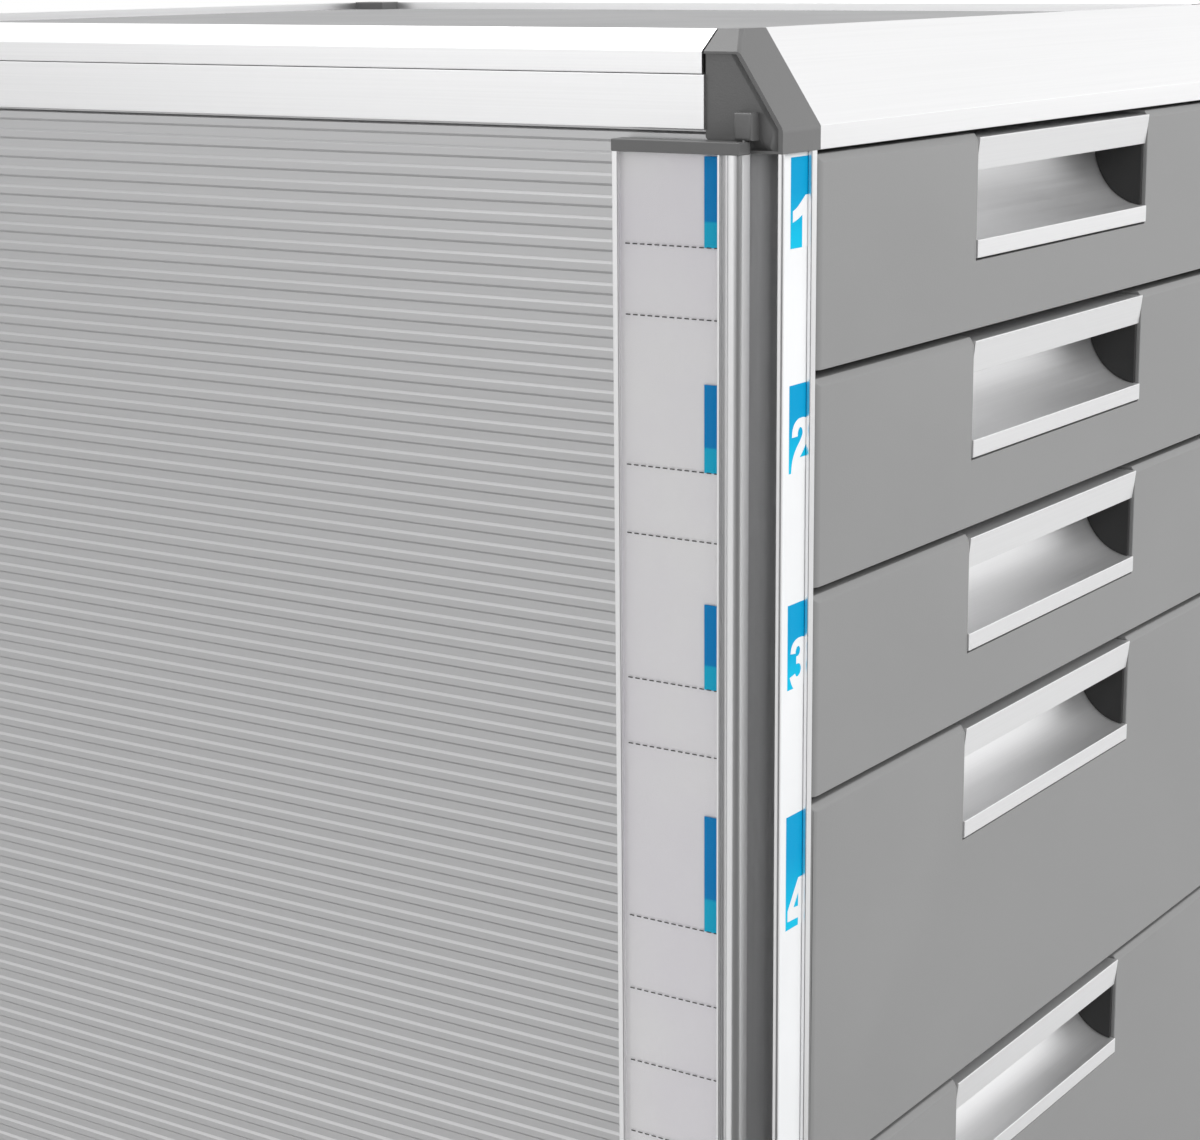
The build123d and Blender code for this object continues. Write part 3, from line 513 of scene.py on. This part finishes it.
def dress_moulding(node, radius, material, slot, segments=3, cramped=False):
    """Replace a CAD moulding by a copy whose edges a bevel rounds, in a cramped one where there is room."""
    shape = merged_copy(node)
    bmesh.ops.dissolve_limit(shape, angle_limit=FLAT_FACES, verts=shape.verts, edges=shape.edges)
    weights = shape.edges.layers.float.new("bevel_weight_edge")
    for edge in shape.edges:
        room = min(other.calc_length() for corner in edge.verts for other in corner.link_edges)
        fits = room > BEVEL_ROOM * radius or not cramped
        if fits and edge.calc_face_angle(0.0) > EDGE_ANGLE:
            edge[weights] = 1.0
    mesh = bpy.data.meshes.new(node)
    shape.to_mesh(mesh)
    shape.free()
    shade(mesh)
    piece = place(f"{node}_dressed", mesh, material, node, slot)
    bevel = piece.modifiers.new("edges", "BEVEL")
    bevel.width = radius
    bevel.segments = segments
    bevel.limit_method = "WEIGHT"
    bevel.harden_normals = True


def paint_node(node, material):
    """Give a CAD node that stays as it is its finished material."""
    slot = frame["nodes"][node].material_slots[0]
    slot.link = "OBJECT"
    slot.material = material


def plate(shape, low, high, layer):
    """Add a thin closed block between two corners, with a map that runs down its height."""
    corners = [
        shape.verts.new((x, y, z))
        for x in (low[X], high[X])
        for y in (low[Y], high[Y])
        for z in (low[Z], high[Z])
    ]
    sides = ((0, 1, 3, 2), (4, 6, 7, 5), (0, 4, 5, 1), (2, 3, 7, 6), (0, 2, 6, 4), (1, 5, 7, 3))
    for side in sides:
        face = shape.faces.new([corners[index] for index in side])
        for loop in face.loops:
            fall = (high[Z] - loop.vert.co.z) / (high[Z] - low[Z])
            loop[layer].uv = (0.5, fall)


def geometry_tree(name, values):
    """A Geometry Nodes tree with named inputs, with its sockets by name and its two ends."""
    tree = bpy.data.node_groups.new(name, "GeometryNodeTree")
    tree.interface.new_socket("Geometry", in_out="INPUT", socket_type="NodeSocketGeometry")
    sockets = {}
    for label, kind in values.items():
        sockets[label] = tree.interface.new_socket(label, in_out="INPUT", socket_type=kind)
    tree.interface.new_socket("Geometry", in_out="OUTPUT", socket_type="NodeSocketGeometry")
    given = tree.nodes.new("NodeGroupInput").outputs
    out = tree.nodes.new("NodeGroupOutput").inputs
    return tree, sockets, given, out


def copies(tree, points, piece):
    """A copy of a piece on every point."""
    inputs = {"Points": points, "Instance": piece}
    return add(tree, "GeometryNodeInstanceOnPoints", inputs).outputs["Instances"]


def settle(tree, geometry, given, out):
    """End a tree: real geometry with its material."""
    real = add(tree, "GeometryNodeRealizeInstances", {"Geometry": geometry}).outputs["Geometry"]
    coat = add(tree, "GeometryNodeSetMaterial", {"Geometry": real, "Material": given["Material"]})
    tree.links.new(coat.outputs["Geometry"], out["Geometry"])


def grown(base, tree, sockets, values):
    """The plain mesh that a tree makes of a base mesh with some input values."""
    carrier = bpy.data.objects.new("carrier", base)
    bpy.context.scene.collection.objects.link(carrier)
    modifier = carrier.modifiers.new("nodes", "NODES")
    modifier.node_group = tree
    for label, value in values.items():
        modifier[sockets[label].identifier] = value
    bpy.context.view_layer.update()
    graph = bpy.context.evaluated_depsgraph_get()
    mesh = bpy.data.meshes.new_from_object(carrier.evaluated_get(graph))
    carrier.modifiers.remove(modifier)
    bpy.data.objects.remove(carrier)
    return mesh


# Studio


def aim_camera(scene, settings):
    """Place the camera from the top of the left front post's inner front edge."""
    low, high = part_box("front_post_left")
    corner = Vector((high.x, low.y, high.z))
    lens = bpy.data.cameras.new("camera")
    lens.lens = settings.lens
    lens.sensor_width = 36.0
    camera = bpy.data.objects.new("camera", lens)
    scene.collection.objects.link(camera)
    camera.matrix_world = (
        Matrix.Translation(corner + Vector(settings.camera_offset))
        @ Matrix.Rotation(-settings.heading, 4, "Z")
        @ Matrix.Rotation(math.pi / 2 - settings.tilt, 4, "X")
        @ Matrix.Rotation(-settings.roll, 4, "Z")
    )
    scene.camera = camera


def square_sheet(scene, name, width, material):
    """A flat square that belongs to the studio."""
    shape = bmesh.new()
    bmesh.ops.create_grid(shape, x_segments=1, y_segments=1, size=width / 2)
    mesh = bpy.data.meshes.new(name)
    shape.to_mesh(mesh)
    shape.free()
    mesh.materials.append(material)
    sheet = bpy.data.objects.new(name, mesh)
    scene.collection.objects.link(sheet)
    return sheet


def lay_floor(scene, settings):
    """Lay a large plain floor."""
    finish = moulded(
        "studio_floor", settings.floor_colour, roughness=(0.65, 0.66), relief=0, gloss=0.2, mottle=0
    )
    floor = square_sheet(scene, "floor", settings.floor_width, finish)


def hang_lamps(scene, settings):
    """Hang square lamps that face the object, each with a name, a place, a width and a power."""
    lamps = (
        ("key", (-0.2, -2.4, 1.9), 2.2, settings.key_power),
        ("side", (-2.2, 1.0, 1.0), 1.6, settings.fill_power),
        ("top", (-0.1, 0.85, 2.5), 1.0, settings.top_power),
        ("right", (2.3, -1.3, 0.5), 1.4, settings.right_power),
    )
    middle = Vector((0.0, 0.0, settings.aim_height))
    for name, spot, width, energy in lamps:
        light = bpy.data.lights.new(name, "AREA")
        light.shape = "SQUARE"
        light.size = width
        light.energy = energy
        lamp = bpy.data.objects.new(name, light)
        lamp.location = spot
        lamp.rotation_euler = (middle - Vector(spot)).to_track_quat("-Z", "Y").to_euler()
        scene.collection.objects.link(lamp)


def set_flags(scene, settings):
    """Set grey cloths at the left front that only reflections see, one upright and one on the floor."""
    cloth = moulded("grey_cloth", settings.flag_colour, roughness=(0.9, 1.0), gloss=0.0)
    upright = (
        Matrix.Rotation(math.pi + settings.flag_turn, 4, "Z")
        @ Matrix.Translation((settings.flag_distance, 0.0, settings.aim_height))
        @ Matrix.Rotation(math.pi / 2, 4, "Y")
    )
    half_mat = settings.mat_width / 2
    lying = Matrix.Translation(Vector(settings.mat_corner) - Vector((half_mat, half_mat, 0.0)))
    for name, position, width in (
        ("front_flag", upright, settings.flag_width),
        ("floor_flag", lying, settings.mat_width),
    ):
        flag = square_sheet(scene, name, width, cloth)
        flag.matrix_world = position
        for ray in ("camera", "diffuse", "transmission", "shadow", "volume_scatter"):
            setattr(flag, f"visible_{ray}", False)


def light_room(scene, settings):
    """Light the room evenly, with plain white for the camera, for reflections and behind clear sheets."""
    world = bpy.data.worlds.new("studio")
    scene.world = world
    world.use_nodes = True
    tree = world.node_tree
    tree.nodes.clear()
    rays = add(tree, "ShaderNodeLightPath").outputs
    white_for = rays["Is Camera Ray"]
    for ray in ("Is Glossy Ray", "Is Transmission Ray"):
        both = {0: white_for, 1: rays[ray]}
        white_for = add(tree, "ShaderNodeMath", both, operation="ADD", use_clamp=True).outputs["Value"]
    dim = add(tree, "ShaderNodeBackground", {"Color": WHITE, "Strength": settings.room_light})
    white = add(tree, "ShaderNodeBackground", {"Color": WHITE, "Strength": 1.0})
    shown = {"Fac": white_for, 1: dim.outputs["Background"], 2: white.outputs["Background"]}
    either = add(tree, "ShaderNodeMixShader", shown)
    add(tree, "ShaderNodeOutputWorld", {"Surface": either.outputs["Shader"]})


class ORGANIZER_OT_stage(bpy.types.Operator):
    """Set the camera, the floor, the lamps, the flags and the room"""

    bl_idname = "organizer.stage"
    bl_label = "Stage"

    def execute(self, context):
        scene = context.scene
        scene.view_settings.view_transform = "Standard"
        for part in (aim_camera, lay_floor, hang_lamps, set_flags, light_room):
            part(scene, scene.organizer_stage)
        return {"FINISHED"}


# Pieces


class ORGANIZER_OT_metal_frame(bpy.types.Operator):
    """Dress the posts, rails and bands of the aluminium frame"""

    bl_idname = "organizer.metal_frame"
    bl_label = "Metal Frame"

    def execute(self, context):
        radius = context.scene.organizer_edges.metal
        base = context.scene.organizer_colours.aluminium
        upright = anodised("anodised_upright", base, Z)
        cross = anodised("anodised_cross", base, X)
        deep = anodised("anodised_deep", base, Y)
        for end in ("front", "back"):
            for side in ("left", "right"):
                dress_extrusion(f"{end}_post_{side}", Z, radius, upright, "post")
            for level in ("top", "base"):
                dress_extrusion(f"{level}_rail_{end}", X, radius, cross, "rail")
        for side in ("left", "right"):
            for piece in ("top_rail", "side_band", "base_rail"):
                dress_extrusion(f"{piece}_{side}", Y, radius, deep, "rail")
        return {"FINISHED"}


def ribbed_sheet_tree():
    """A flat sheet with rounded ribs along Y, from its top edge down."""
    lengths = ("Length", "Top", "Bottom", "Rib Top", "Thickness", "Pitch")
    lengths += ("Foot Width", "Top Width", "Height", "Radius")
    values = {label: "NodeSocketFloat" for label in lengths}
    values["Count"] = "NodeSocketInt"
    values["Material"] = "NodeSocketMaterial"
    tree, sockets, given, out = geometry_tree("ribbed sheet", values)

    tall = calculate(tree, "SUBTRACT", given["Top"], given["Bottom"])
    ends = {"Factor": 0.5, "A": given["Top"], "B": given["Bottom"]}
    centre = add(tree, "ShaderNodeMix", ends, data_type="FLOAT").outputs["Result"]
    half_back = calculate(tree, "MULTIPLY", given["Thickness"], -0.5)
    block_size = vector(tree, {"X": given["Thickness"], "Y": given["Length"], "Z": tall})
    block = add(tree, "GeometryNodeMeshCube", {"Size": block_size}).outputs["Mesh"]
    block_place = vector(tree, {"X": half_back, "Z": centre})
    sheet = add(tree, "GeometryNodeTransform", {"Geometry": block, "Translation": block_place})

    flare = calculate(tree, "SUBTRACT", given["Foot Width"], given["Top Width"])
    trapezoid = {
        "Bottom Width": calculate(tree, "ADD", given["Foot Width"], flare),
        "Top Width": given["Top Width"],
        "Height": calculate(tree, "MULTIPLY", given["Height"], 2.0),
        "Offset": 0.0,
    }
    profile = add(tree, "GeometryNodeCurvePrimitiveQuadrilateral", trapezoid, mode="TRAPEZOID")
    fillet = {"Curve": profile.outputs["Curve"], "Radius": given["Radius"], "Count": 3}
    soft = add(tree, "GeometryNodeFilletCurve", fillet, mode="POLY").outputs["Curve"]
    half_length = calculate(tree, "MULTIPLY", given["Length"], 0.5)
    less = calculate(tree, "MULTIPLY", half_length, -1.0)
    ends = {"Start": vector(tree, {"Z": less}), "End": vector(tree, {"Z": half_length})}
    path = add(tree, "GeometryNodeCurvePrimitiveLine", ends).outputs["Curve"]
    sweep = {"Curve": path, "Profile Curve": soft, "Fill Caps": True}
    rib = add(tree, "GeometryNodeCurveToMesh", sweep).outputs["Mesh"]
    for turn in ((-math.pi / 2, 0.0, 0.0), (0.0, -math.pi / 2, 0.0)):
        rib = add(tree, "GeometryNodeTransform", {"Geometry": rib, "Rotation": turn}).outputs["Geometry"]

    down = calculate(tree, "MULTIPLY", given["Pitch"], -1.0)
    steps = {
        "Count": given["Count"],
        "Start Location": vector(tree, {"Z": given["Rib Top"]}),
        "Offset": vector(tree, {"Z": down}),
    }
    row = add(tree, "GeometryNodeMeshLine", steps, mode="OFFSET").outputs["Mesh"]
    both = add(tree, "GeometryNodeJoinGeometry")
    for part in (sheet.outputs["Geometry"], copies(tree, row, rib)):
        tree.links.new(part, both.inputs["Geometry"])
    settle(tree, both.outputs["Geometry"], given, out)
    return tree, sockets


class ORGANIZER_OT_side_sheets(bpy.types.Operator):
    """Make the ribbed sheets in the sides with Geometry Nodes"""

    bl_idname = "organizer.side_sheets"
    bl_label = "Side Sheets"

    def execute(self, context):
        ribs = context.scene.organizer_ribs
        base = context.scene.organizer_colours.sheet
        finish = anodised("anodised_sheet", base, Y, roughness=(0.36, 0.46))
        tree, sockets = ribbed_sheet_tree()
        band_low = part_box("side_band_left")[0].z
        for side in ("left", "right"):
            node = f"side_panel_{side}"
            low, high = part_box(node)
            rib_middle = band_low - ribs.offset - ribs.foot_width / 2
            count = int((rib_middle - low.z) / ribs.pitch)
            mesh = grown(
                bpy.data.meshes.new("empty"),
                tree,
                sockets,
                {
                    "Length": high.y - low.y,
                    "Top": high.z,
                    "Bottom": low.z,
                    "Rib Top": rib_middle,
                    "Thickness": high.x - low.x - ribs.height,
                    "Pitch": ribs.pitch,
                    "Foot Width": ribs.foot_width,
                    "Top Width": ribs.top_width,
                    "Height": ribs.height,
                    "Radius": ribs.radius,
                    "Count": count,
                    "Material": finish,
                },
            )
            middle_y = (low.y + high.y) / 2
            if side == "left":
                face = Matrix.Rotation(math.pi, 4, "Z")
                spot = Vector((low.x + ribs.height, middle_y, 0.0))
            else:
                face = Matrix.Identity(4)
                spot = Vector((high.x - ribs.height, middle_y, 0.0))
            mesh.transform(Matrix.Translation(spot) @ face)
            shade(mesh)
            piece = place(f"{node}_dressed", mesh, finish, node, "grooved_panel")
            keep_flats(piece)
        return {"FINISHED"}


class ORGANIZER_OT_corner_caps(bpy.types.Operator):
    """Dress the moulded caps that join the frame at its corners"""

    bl_idname = "organizer.corner_caps"
    bl_label = "Corner Caps"

    def execute(self, context):
        radius = context.scene.organizer_edges.caps
        finish = cap_plastic("moulded_cap", context.scene.organizer_colours.caps)
        for level in ("top", "base"):
            for end in ("front", "back"):
                for side in ("left", "right"):
                    node = f"{level}_cap_{end}_{side}"
                    dress_moulding(node, radius, finish, "corner_cap", cramped=True)
        return {"FINISHED"}


class ORGANIZER_OT_drawers(bpy.types.Operator):
    """Dress the drawers: their fronts, trays, pulls and pull ends"""

    bl_idname = "organizer.drawers"
    bl_label = "Drawers"

    def execute(self, context):
        edges = context.scene.organizer_edges
        colours = context.scene.organizer_colours
        front = moulded("moulded_front", colours.fronts)
        tray = moulded("moulded_tray", colours.trays)
        pull = anodised("anodised_pull", colours.pull, X, roughness=(0.34, 0.4), relief=0.05, metal=0.75)
        end = moulded("moulded_pull_end", colours.pull_ends, gloss=0.25)
        for body in bodies:
            if not body.startswith("drawer_"):
                continue
            dress_moulding(f"{body}_front", edges.moulded, front, "drawer_front")
            dress_moulding(f"{body}_tray", edges.tray, tray, "tray")
            dress_extrusion(f"{body}_pull", X, edges.metal, pull, "pull")
            dress_moulding(f"{body}_pull_ends", edges.metal, end, "pull_end")
        return {"FINISHED"}


def drawer_spans():
    """Top and height of each drawer's place, from the top down, by its front."""
    fronts = [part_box(node) for node in sorted(frame["nodes"]) if node.endswith("_front") and "drawer" in node]
    stack_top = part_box("front_post_left")[1].z
    gap = 2 * (stack_top - fronts[0][1].z)
    return [(high.z + gap / 2, high.z - low.z + gap) for low, high in fronts]


def dashed_rows_tree():
    """A row of short dashes along Y from each point."""
    values = {label: "NodeSocketFloat" for label in ("Length", "Pitch", "Dash", "Width", "Depth")}
    values["Material"] = "NodeSocketMaterial"
    tree, sockets, given, out = geometry_tree("dashed rows", values)
    steps = {
        "Count": calculate(tree, "DIVIDE", given["Length"], given["Pitch"]),
        "Offset": vector(tree, {"Y": given["Pitch"]}),
    }
    row = add(tree, "GeometryNodeMeshLine", steps, mode="OFFSET").outputs["Mesh"]
    dash_size = vector(tree, {"X": given["Depth"], "Y": given["Dash"], "Z": given["Width"]})
    dash = add(tree, "GeometryNodeMeshCube", {"Size": dash_size}).outputs["Mesh"]
    rows = copies(tree, given["Geometry"], copies(tree, row, dash))
    settle(tree, rows, given, out)
    return tree, sockets


def card_print(low, high, prints):
    """The coloured tabs on the card, with their map, and the points where its dashed rows start."""
    face = low.x
    shape = bmesh.new()
    layer = shape.loops.layers.uv.new("print")
    points = bmesh.new()
    near = low.y + prints.tab_inset
    for top, height in drawer_spans():
        deep = height > prints.deep_drawer
        tab_low = top - (prints.long_tab if deep else prints.short_tab)
        row_gap = prints.long_rows if deep else prints.short_rows
        plate(
            shape,
            (face - prints.ink_depth, near, tab_low),
            (face + prints.ink_depth, near + prints.tab_width, min(top - prints.tab_gap, high.z)),
            layer,
        )
        count = int((height - (top - tab_low)) / row_gap)
        for number in range(count + 1):
            points.verts.new((face - prints.ink_depth, near + prints.dash / 2, tab_low - number * row_gap))
    tabs = bpy.data.meshes.new("card_tabs")
    shape.to_mesh(tabs)
    shape.free()
    starts = bpy.data.meshes.new("row_starts")
    points.to_mesh(starts)
    points.free()
    return tabs, starts


class ORGANIZER_OT_card_holder(bpy.types.Operator):
    """Dress the hinged card holder, its card with tabs and dashed rows, its window and its pins"""

    bl_idname = "organizer.card_holder"
    bl_label = "Card Holder"

    def execute(self, context):
        prints = context.scene.organizer_prints
        edges = context.scene.organizer_edges
        colours = context.scene.organizer_colours
        metal = anodised("anodised_holder", colours.aluminium, Z)
        dress_extrusion("card_holder", Z, edges.metal, metal, "holder")
        cap = cap_plastic("moulded_holder_cap", colours.caps)
        for end in ("top", "bottom"):
            dress_moulding(f"holder_cap_{end}", edges.holder_caps, cap, "holder_cap", segments=4)
        paper = moulded("card_paper", colours.card, roughness=(0.5, 0.6), relief=0.1, gloss=0.3)
        paint_node("index_card", paper)
        paint_node("card_window", clear_sheet("clear_window"))
        paint_node("index_pivots", anodised("turned_steel", colours.steel, Z))

        low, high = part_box("index_card")
        window_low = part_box("card_window")[0]
        if window_low.x > low.x:
            raise RuntimeError("the card's window isn't outside the card")
        tabs, starts = card_print(low, high, prints)
        ink = printed("tab_ink", colours.tab_blue, colours.tab_teal, start=0.7, stop=0.73)
        place("card_tabs", tabs, ink, "index_card", "card", False)
        ink = moulded("row_ink", colours.ink, relief=0.1)
        tree, sockets = dashed_rows_tree()
        dashes = grown(
            starts,
            tree,
            sockets,
            {
                "Length": high.y - low.y - prints.row_margin,
                "Pitch": prints.dash_pitch,
                "Dash": prints.dash,
                "Width": prints.dash_width,
                "Depth": prints.ink_depth,
                "Material": ink,
            },
        )
        place("card_rows", dashes, ink, "index_card", "card", False)
        return {"FINISHED"}


# Outlines of the numbers in millimetres from a field's lower left corner: across, up, and 1 where the
# line runs on softly. Their right side runs on to the field's edge, under the post's lip.
FIGURES = {
    1: [
        [(0.9, 5.6), (0.9, 8.0), (2.7, 8.7, 1), (4.4, 9.8, 1), (6.4, 11.2), (8, 11.2), (8, 0)]
        + [(5, 0), (5, 7), (2.8, 6.1, 1)],
    ],
    2: [
        [(1.2, 7.9), (1.6, 9.9, 1), (3.1, 11.4, 1), (5.6, 11.9, 1), (8, 11.5), (8, 6.5), (6.4, 4.6, 1)]
        + [(4.7, 3.1), (8, 3.1), (8, 0), (0.9, 0), (1.5, 2.8, 1), (2.8, 4.9, 1), (5.3, 7.4, 1)]
        + [(5.9, 8.6, 1), (5, 9.8, 1), (4, 9.2, 1), (3.7, 7.9)],
    ],
    3: [
        [(1.3, 8.2), (1.8, 9.8, 1), (3.4, 11, 1), (6, 11.3, 1), (8, 10.9), (8, 0), (2.7, 0), (1.9, 1, 1)]
        + [(1, 2.8), (3.4, 3.3), (3.9, 2.6, 1), (4.9, 2.6, 1), (5.9, 3.6, 1), (5.7, 4.9, 1)]
        + [(4.9, 5.4, 1), (3.9, 5.4), (3.9, 7.2), (4.9, 7.3, 1), (5.5, 8.1, 1), (5.3, 9.1, 1)]
        + [(4.5, 9.4, 1), (3.8, 8.9, 1), (3.5, 7.9)],
    ],
    4: [
        [(0.8, 2), (0.8, 4.6), (5.6, 11.4), (8, 11.4), (8, 0), (5.6, 0), (5.6, 1.8)],
        [(5.6, 7.8), (3.5, 4.75), (5.6, 4.6)],
    ],
    5: [
        [(1.6, 5.6), (1.9, 11.4), (8, 11.4), (8, 8.8), (4.3, 8.8), (4.2, 7.3), (5.6, 7.8, 1), (8, 7.6)]
        + [(8, 0), (2.7, 0), (1.7, 1, 1), (0.9, 2.8), (3.4, 3.2), (4, 2.5, 1), (5, 2.5, 1)]
        + [(5.8, 3.8, 1), (5.4, 5.3, 1), (4.2, 5.3, 1), (3.8, 4.9)],
    ],
}


def figure_mesh(outlines, depth):
    """A closed flat figure that stands upright and faces the front."""
    drawing = bpy.data.curves.new("figure", "CURVE")
    drawing.dimensions = "2D"
    drawing.fill_mode = "BOTH"
    drawing.extrude = depth
    for outline in outlines:
        line = drawing.splines.new("BEZIER")
        line.use_cyclic_u = True
        line.resolution_u = 5
        line.bezier_points.add(len(outline) - 1)
        for knot, (across, up, *soft) in zip(line.bezier_points, outline):
            knot.co = (across * MILLIMETRE, up * MILLIMETRE, 0.0)
            knot.handle_left_type = knot.handle_right_type = "AUTO" if soft else "VECTOR"
    carrier = bpy.data.objects.new("figure", drawing)
    bpy.context.scene.collection.objects.link(carrier)
    bpy.context.view_layer.update()
    graph = bpy.context.evaluated_depsgraph_get()
    mesh = bpy.data.meshes.new_from_object(carrier.evaluated_get(graph))
    bpy.data.objects.remove(carrier)
    mesh.transform(Matrix.Rotation(math.pi / 2, 4, "X"))
    return mesh


class ORGANIZER_OT_number_strips(bpy.types.Operator):
    """Finish both post strips and print the drawers' numbers on the left one"""

    bl_idname = "organizer.number_strips"
    bl_label = "Number Strips"

    def execute(self, context):
        prints = context.scene.organizer_prints
        colours = context.scene.organizer_colours
        white = moulded("white_strip", colours.strip, roughness=(0.45, 0.5), relief=0.05, gloss=0.3)
        paint_node("number_strip", white)
        paint_node("plain_strip", white)
        low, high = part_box("number_strip")
        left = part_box("front_post_left")[0].x + prints.field_inset
        front = low.y
        fields = bmesh.new()
        layer = fields.loops.layers.uv.new("print")
        figures = bmesh.new()
        for number, (top, height) in enumerate(drawer_spans(), start=1):
            field_low = top - (prints.long_field if height > prints.deep_drawer else prints.short_field)
            plate(
                fields,
                (left, front - prints.ink_depth, field_low),
                (high.x, front + prints.ink_depth, min(top - prints.field_gap, high.z)),
                layer,
            )
            mesh = figure_mesh(FIGURES[number], prints.ink_depth / 2)
            mesh.transform(Matrix.Translation((left, front - 1.5 * prints.ink_depth, field_low)))
            figures.from_mesh(mesh)
        bmesh.ops.remove_doubles(figures, verts=figures.verts, dist=SAME_PLACE)
        ink = printed("field_ink", colours.field_blue, colours.field_cyan, start=0.3, stop=1.0)
        for name, shape, finish in (("number_fields", fields, ink), ("number_figures", figures, white)):
            bmesh.ops.recalc_face_normals(shape, faces=shape.faces)
            mesh = bpy.data.meshes.new(name)
            shape.to_mesh(mesh)
            shape.free()
            place(name, mesh, finish, "number_strip", "strip", False)
        return {"FINISHED"}


class ORGANIZER_OT_sheets_and_feet(bpy.types.Operator):
    """Finish the flat sheets, the runner liners and the feet"""

    bl_idname = "organizer.sheets_and_feet"
    bl_label = "Sheets and Feet"

    def execute(self, context):
        colours = context.scene.organizer_colours
        radius = context.scene.organizer_edges.metal
        sheet = moulded("flat_sheet", colours.panels)
        for node in ("top_panel", "base_panel", "back_panel"):
            dress_moulding(node, radius, sheet, "flat_panel", segments=2)
        liner = moulded("moulded_liner", colours.liners)
        for side in ("left", "right"):
            dress_extrusion(f"runner_liner_{side}", Y, radius, liner, "liner")
        rubber = moulded("rubber", colours.rubber, roughness=(0.6, 0.7))
        dress_moulding("feet", radius * 2, rubber, "foot")
        return {"FINISHED"}


class ORGANIZER_PT_sidebar(bpy.types.Panel):
    """Buttons that make the organizer's pieces"""

    bl_label = "Drawer Organizer"
    bl_idname = "ORGANIZER_PT_sidebar"
    bl_space_type = "VIEW_3D"
    bl_region_type = "UI"
    bl_category = "Organizer"

    def draw(self, context):
        for operator in operators:
            self.layout.operator(operator.bl_idname)


settings_groups = {
    "organizer_stage": StageSettings,
    "organizer_edges": EdgeSettings,
    "organizer_ribs": RibSettings,
    "organizer_prints": PrintSettings,
    "organizer_colours": ColourSettings,
}
operators = (
    ORGANIZER_OT_stage,
    ORGANIZER_OT_metal_frame,
    ORGANIZER_OT_side_sheets,
    ORGANIZER_OT_corner_caps,
    ORGANIZER_OT_drawers,
    ORGANIZER_OT_card_holder,
    ORGANIZER_OT_number_strips,
    ORGANIZER_OT_sheets_and_feet,
)


def register():
    for name, group in settings_groups.items():
        bpy.utils.register_class(group)
        setattr(bpy.types.Scene, name, PointerProperty(type=group))
    for shown in (*operators, ORGANIZER_PT_sidebar):
        bpy.utils.register_class(shown)


def unregister():
    for shown in reversed((*operators, ORGANIZER_PT_sidebar)):
        bpy.utils.unregister_class(shown)
    for name, group in reversed(settings_groups.items()):
        delattr(bpy.types.Scene, name)
        bpy.utils.unregister_class(group)


def main():
    """Make the whole organizer."""
    register()
    bpy.ops.organizer.stage()
    bpy.ops.organizer.metal_frame()
    bpy.ops.organizer.side_sheets()
    bpy.ops.organizer.corner_caps()
    bpy.ops.organizer.drawers()
    bpy.ops.organizer.card_holder()
    bpy.ops.organizer.number_strips()
    bpy.ops.organizer.sheets_and_feet()


if __name__ == "__main__":
    main()
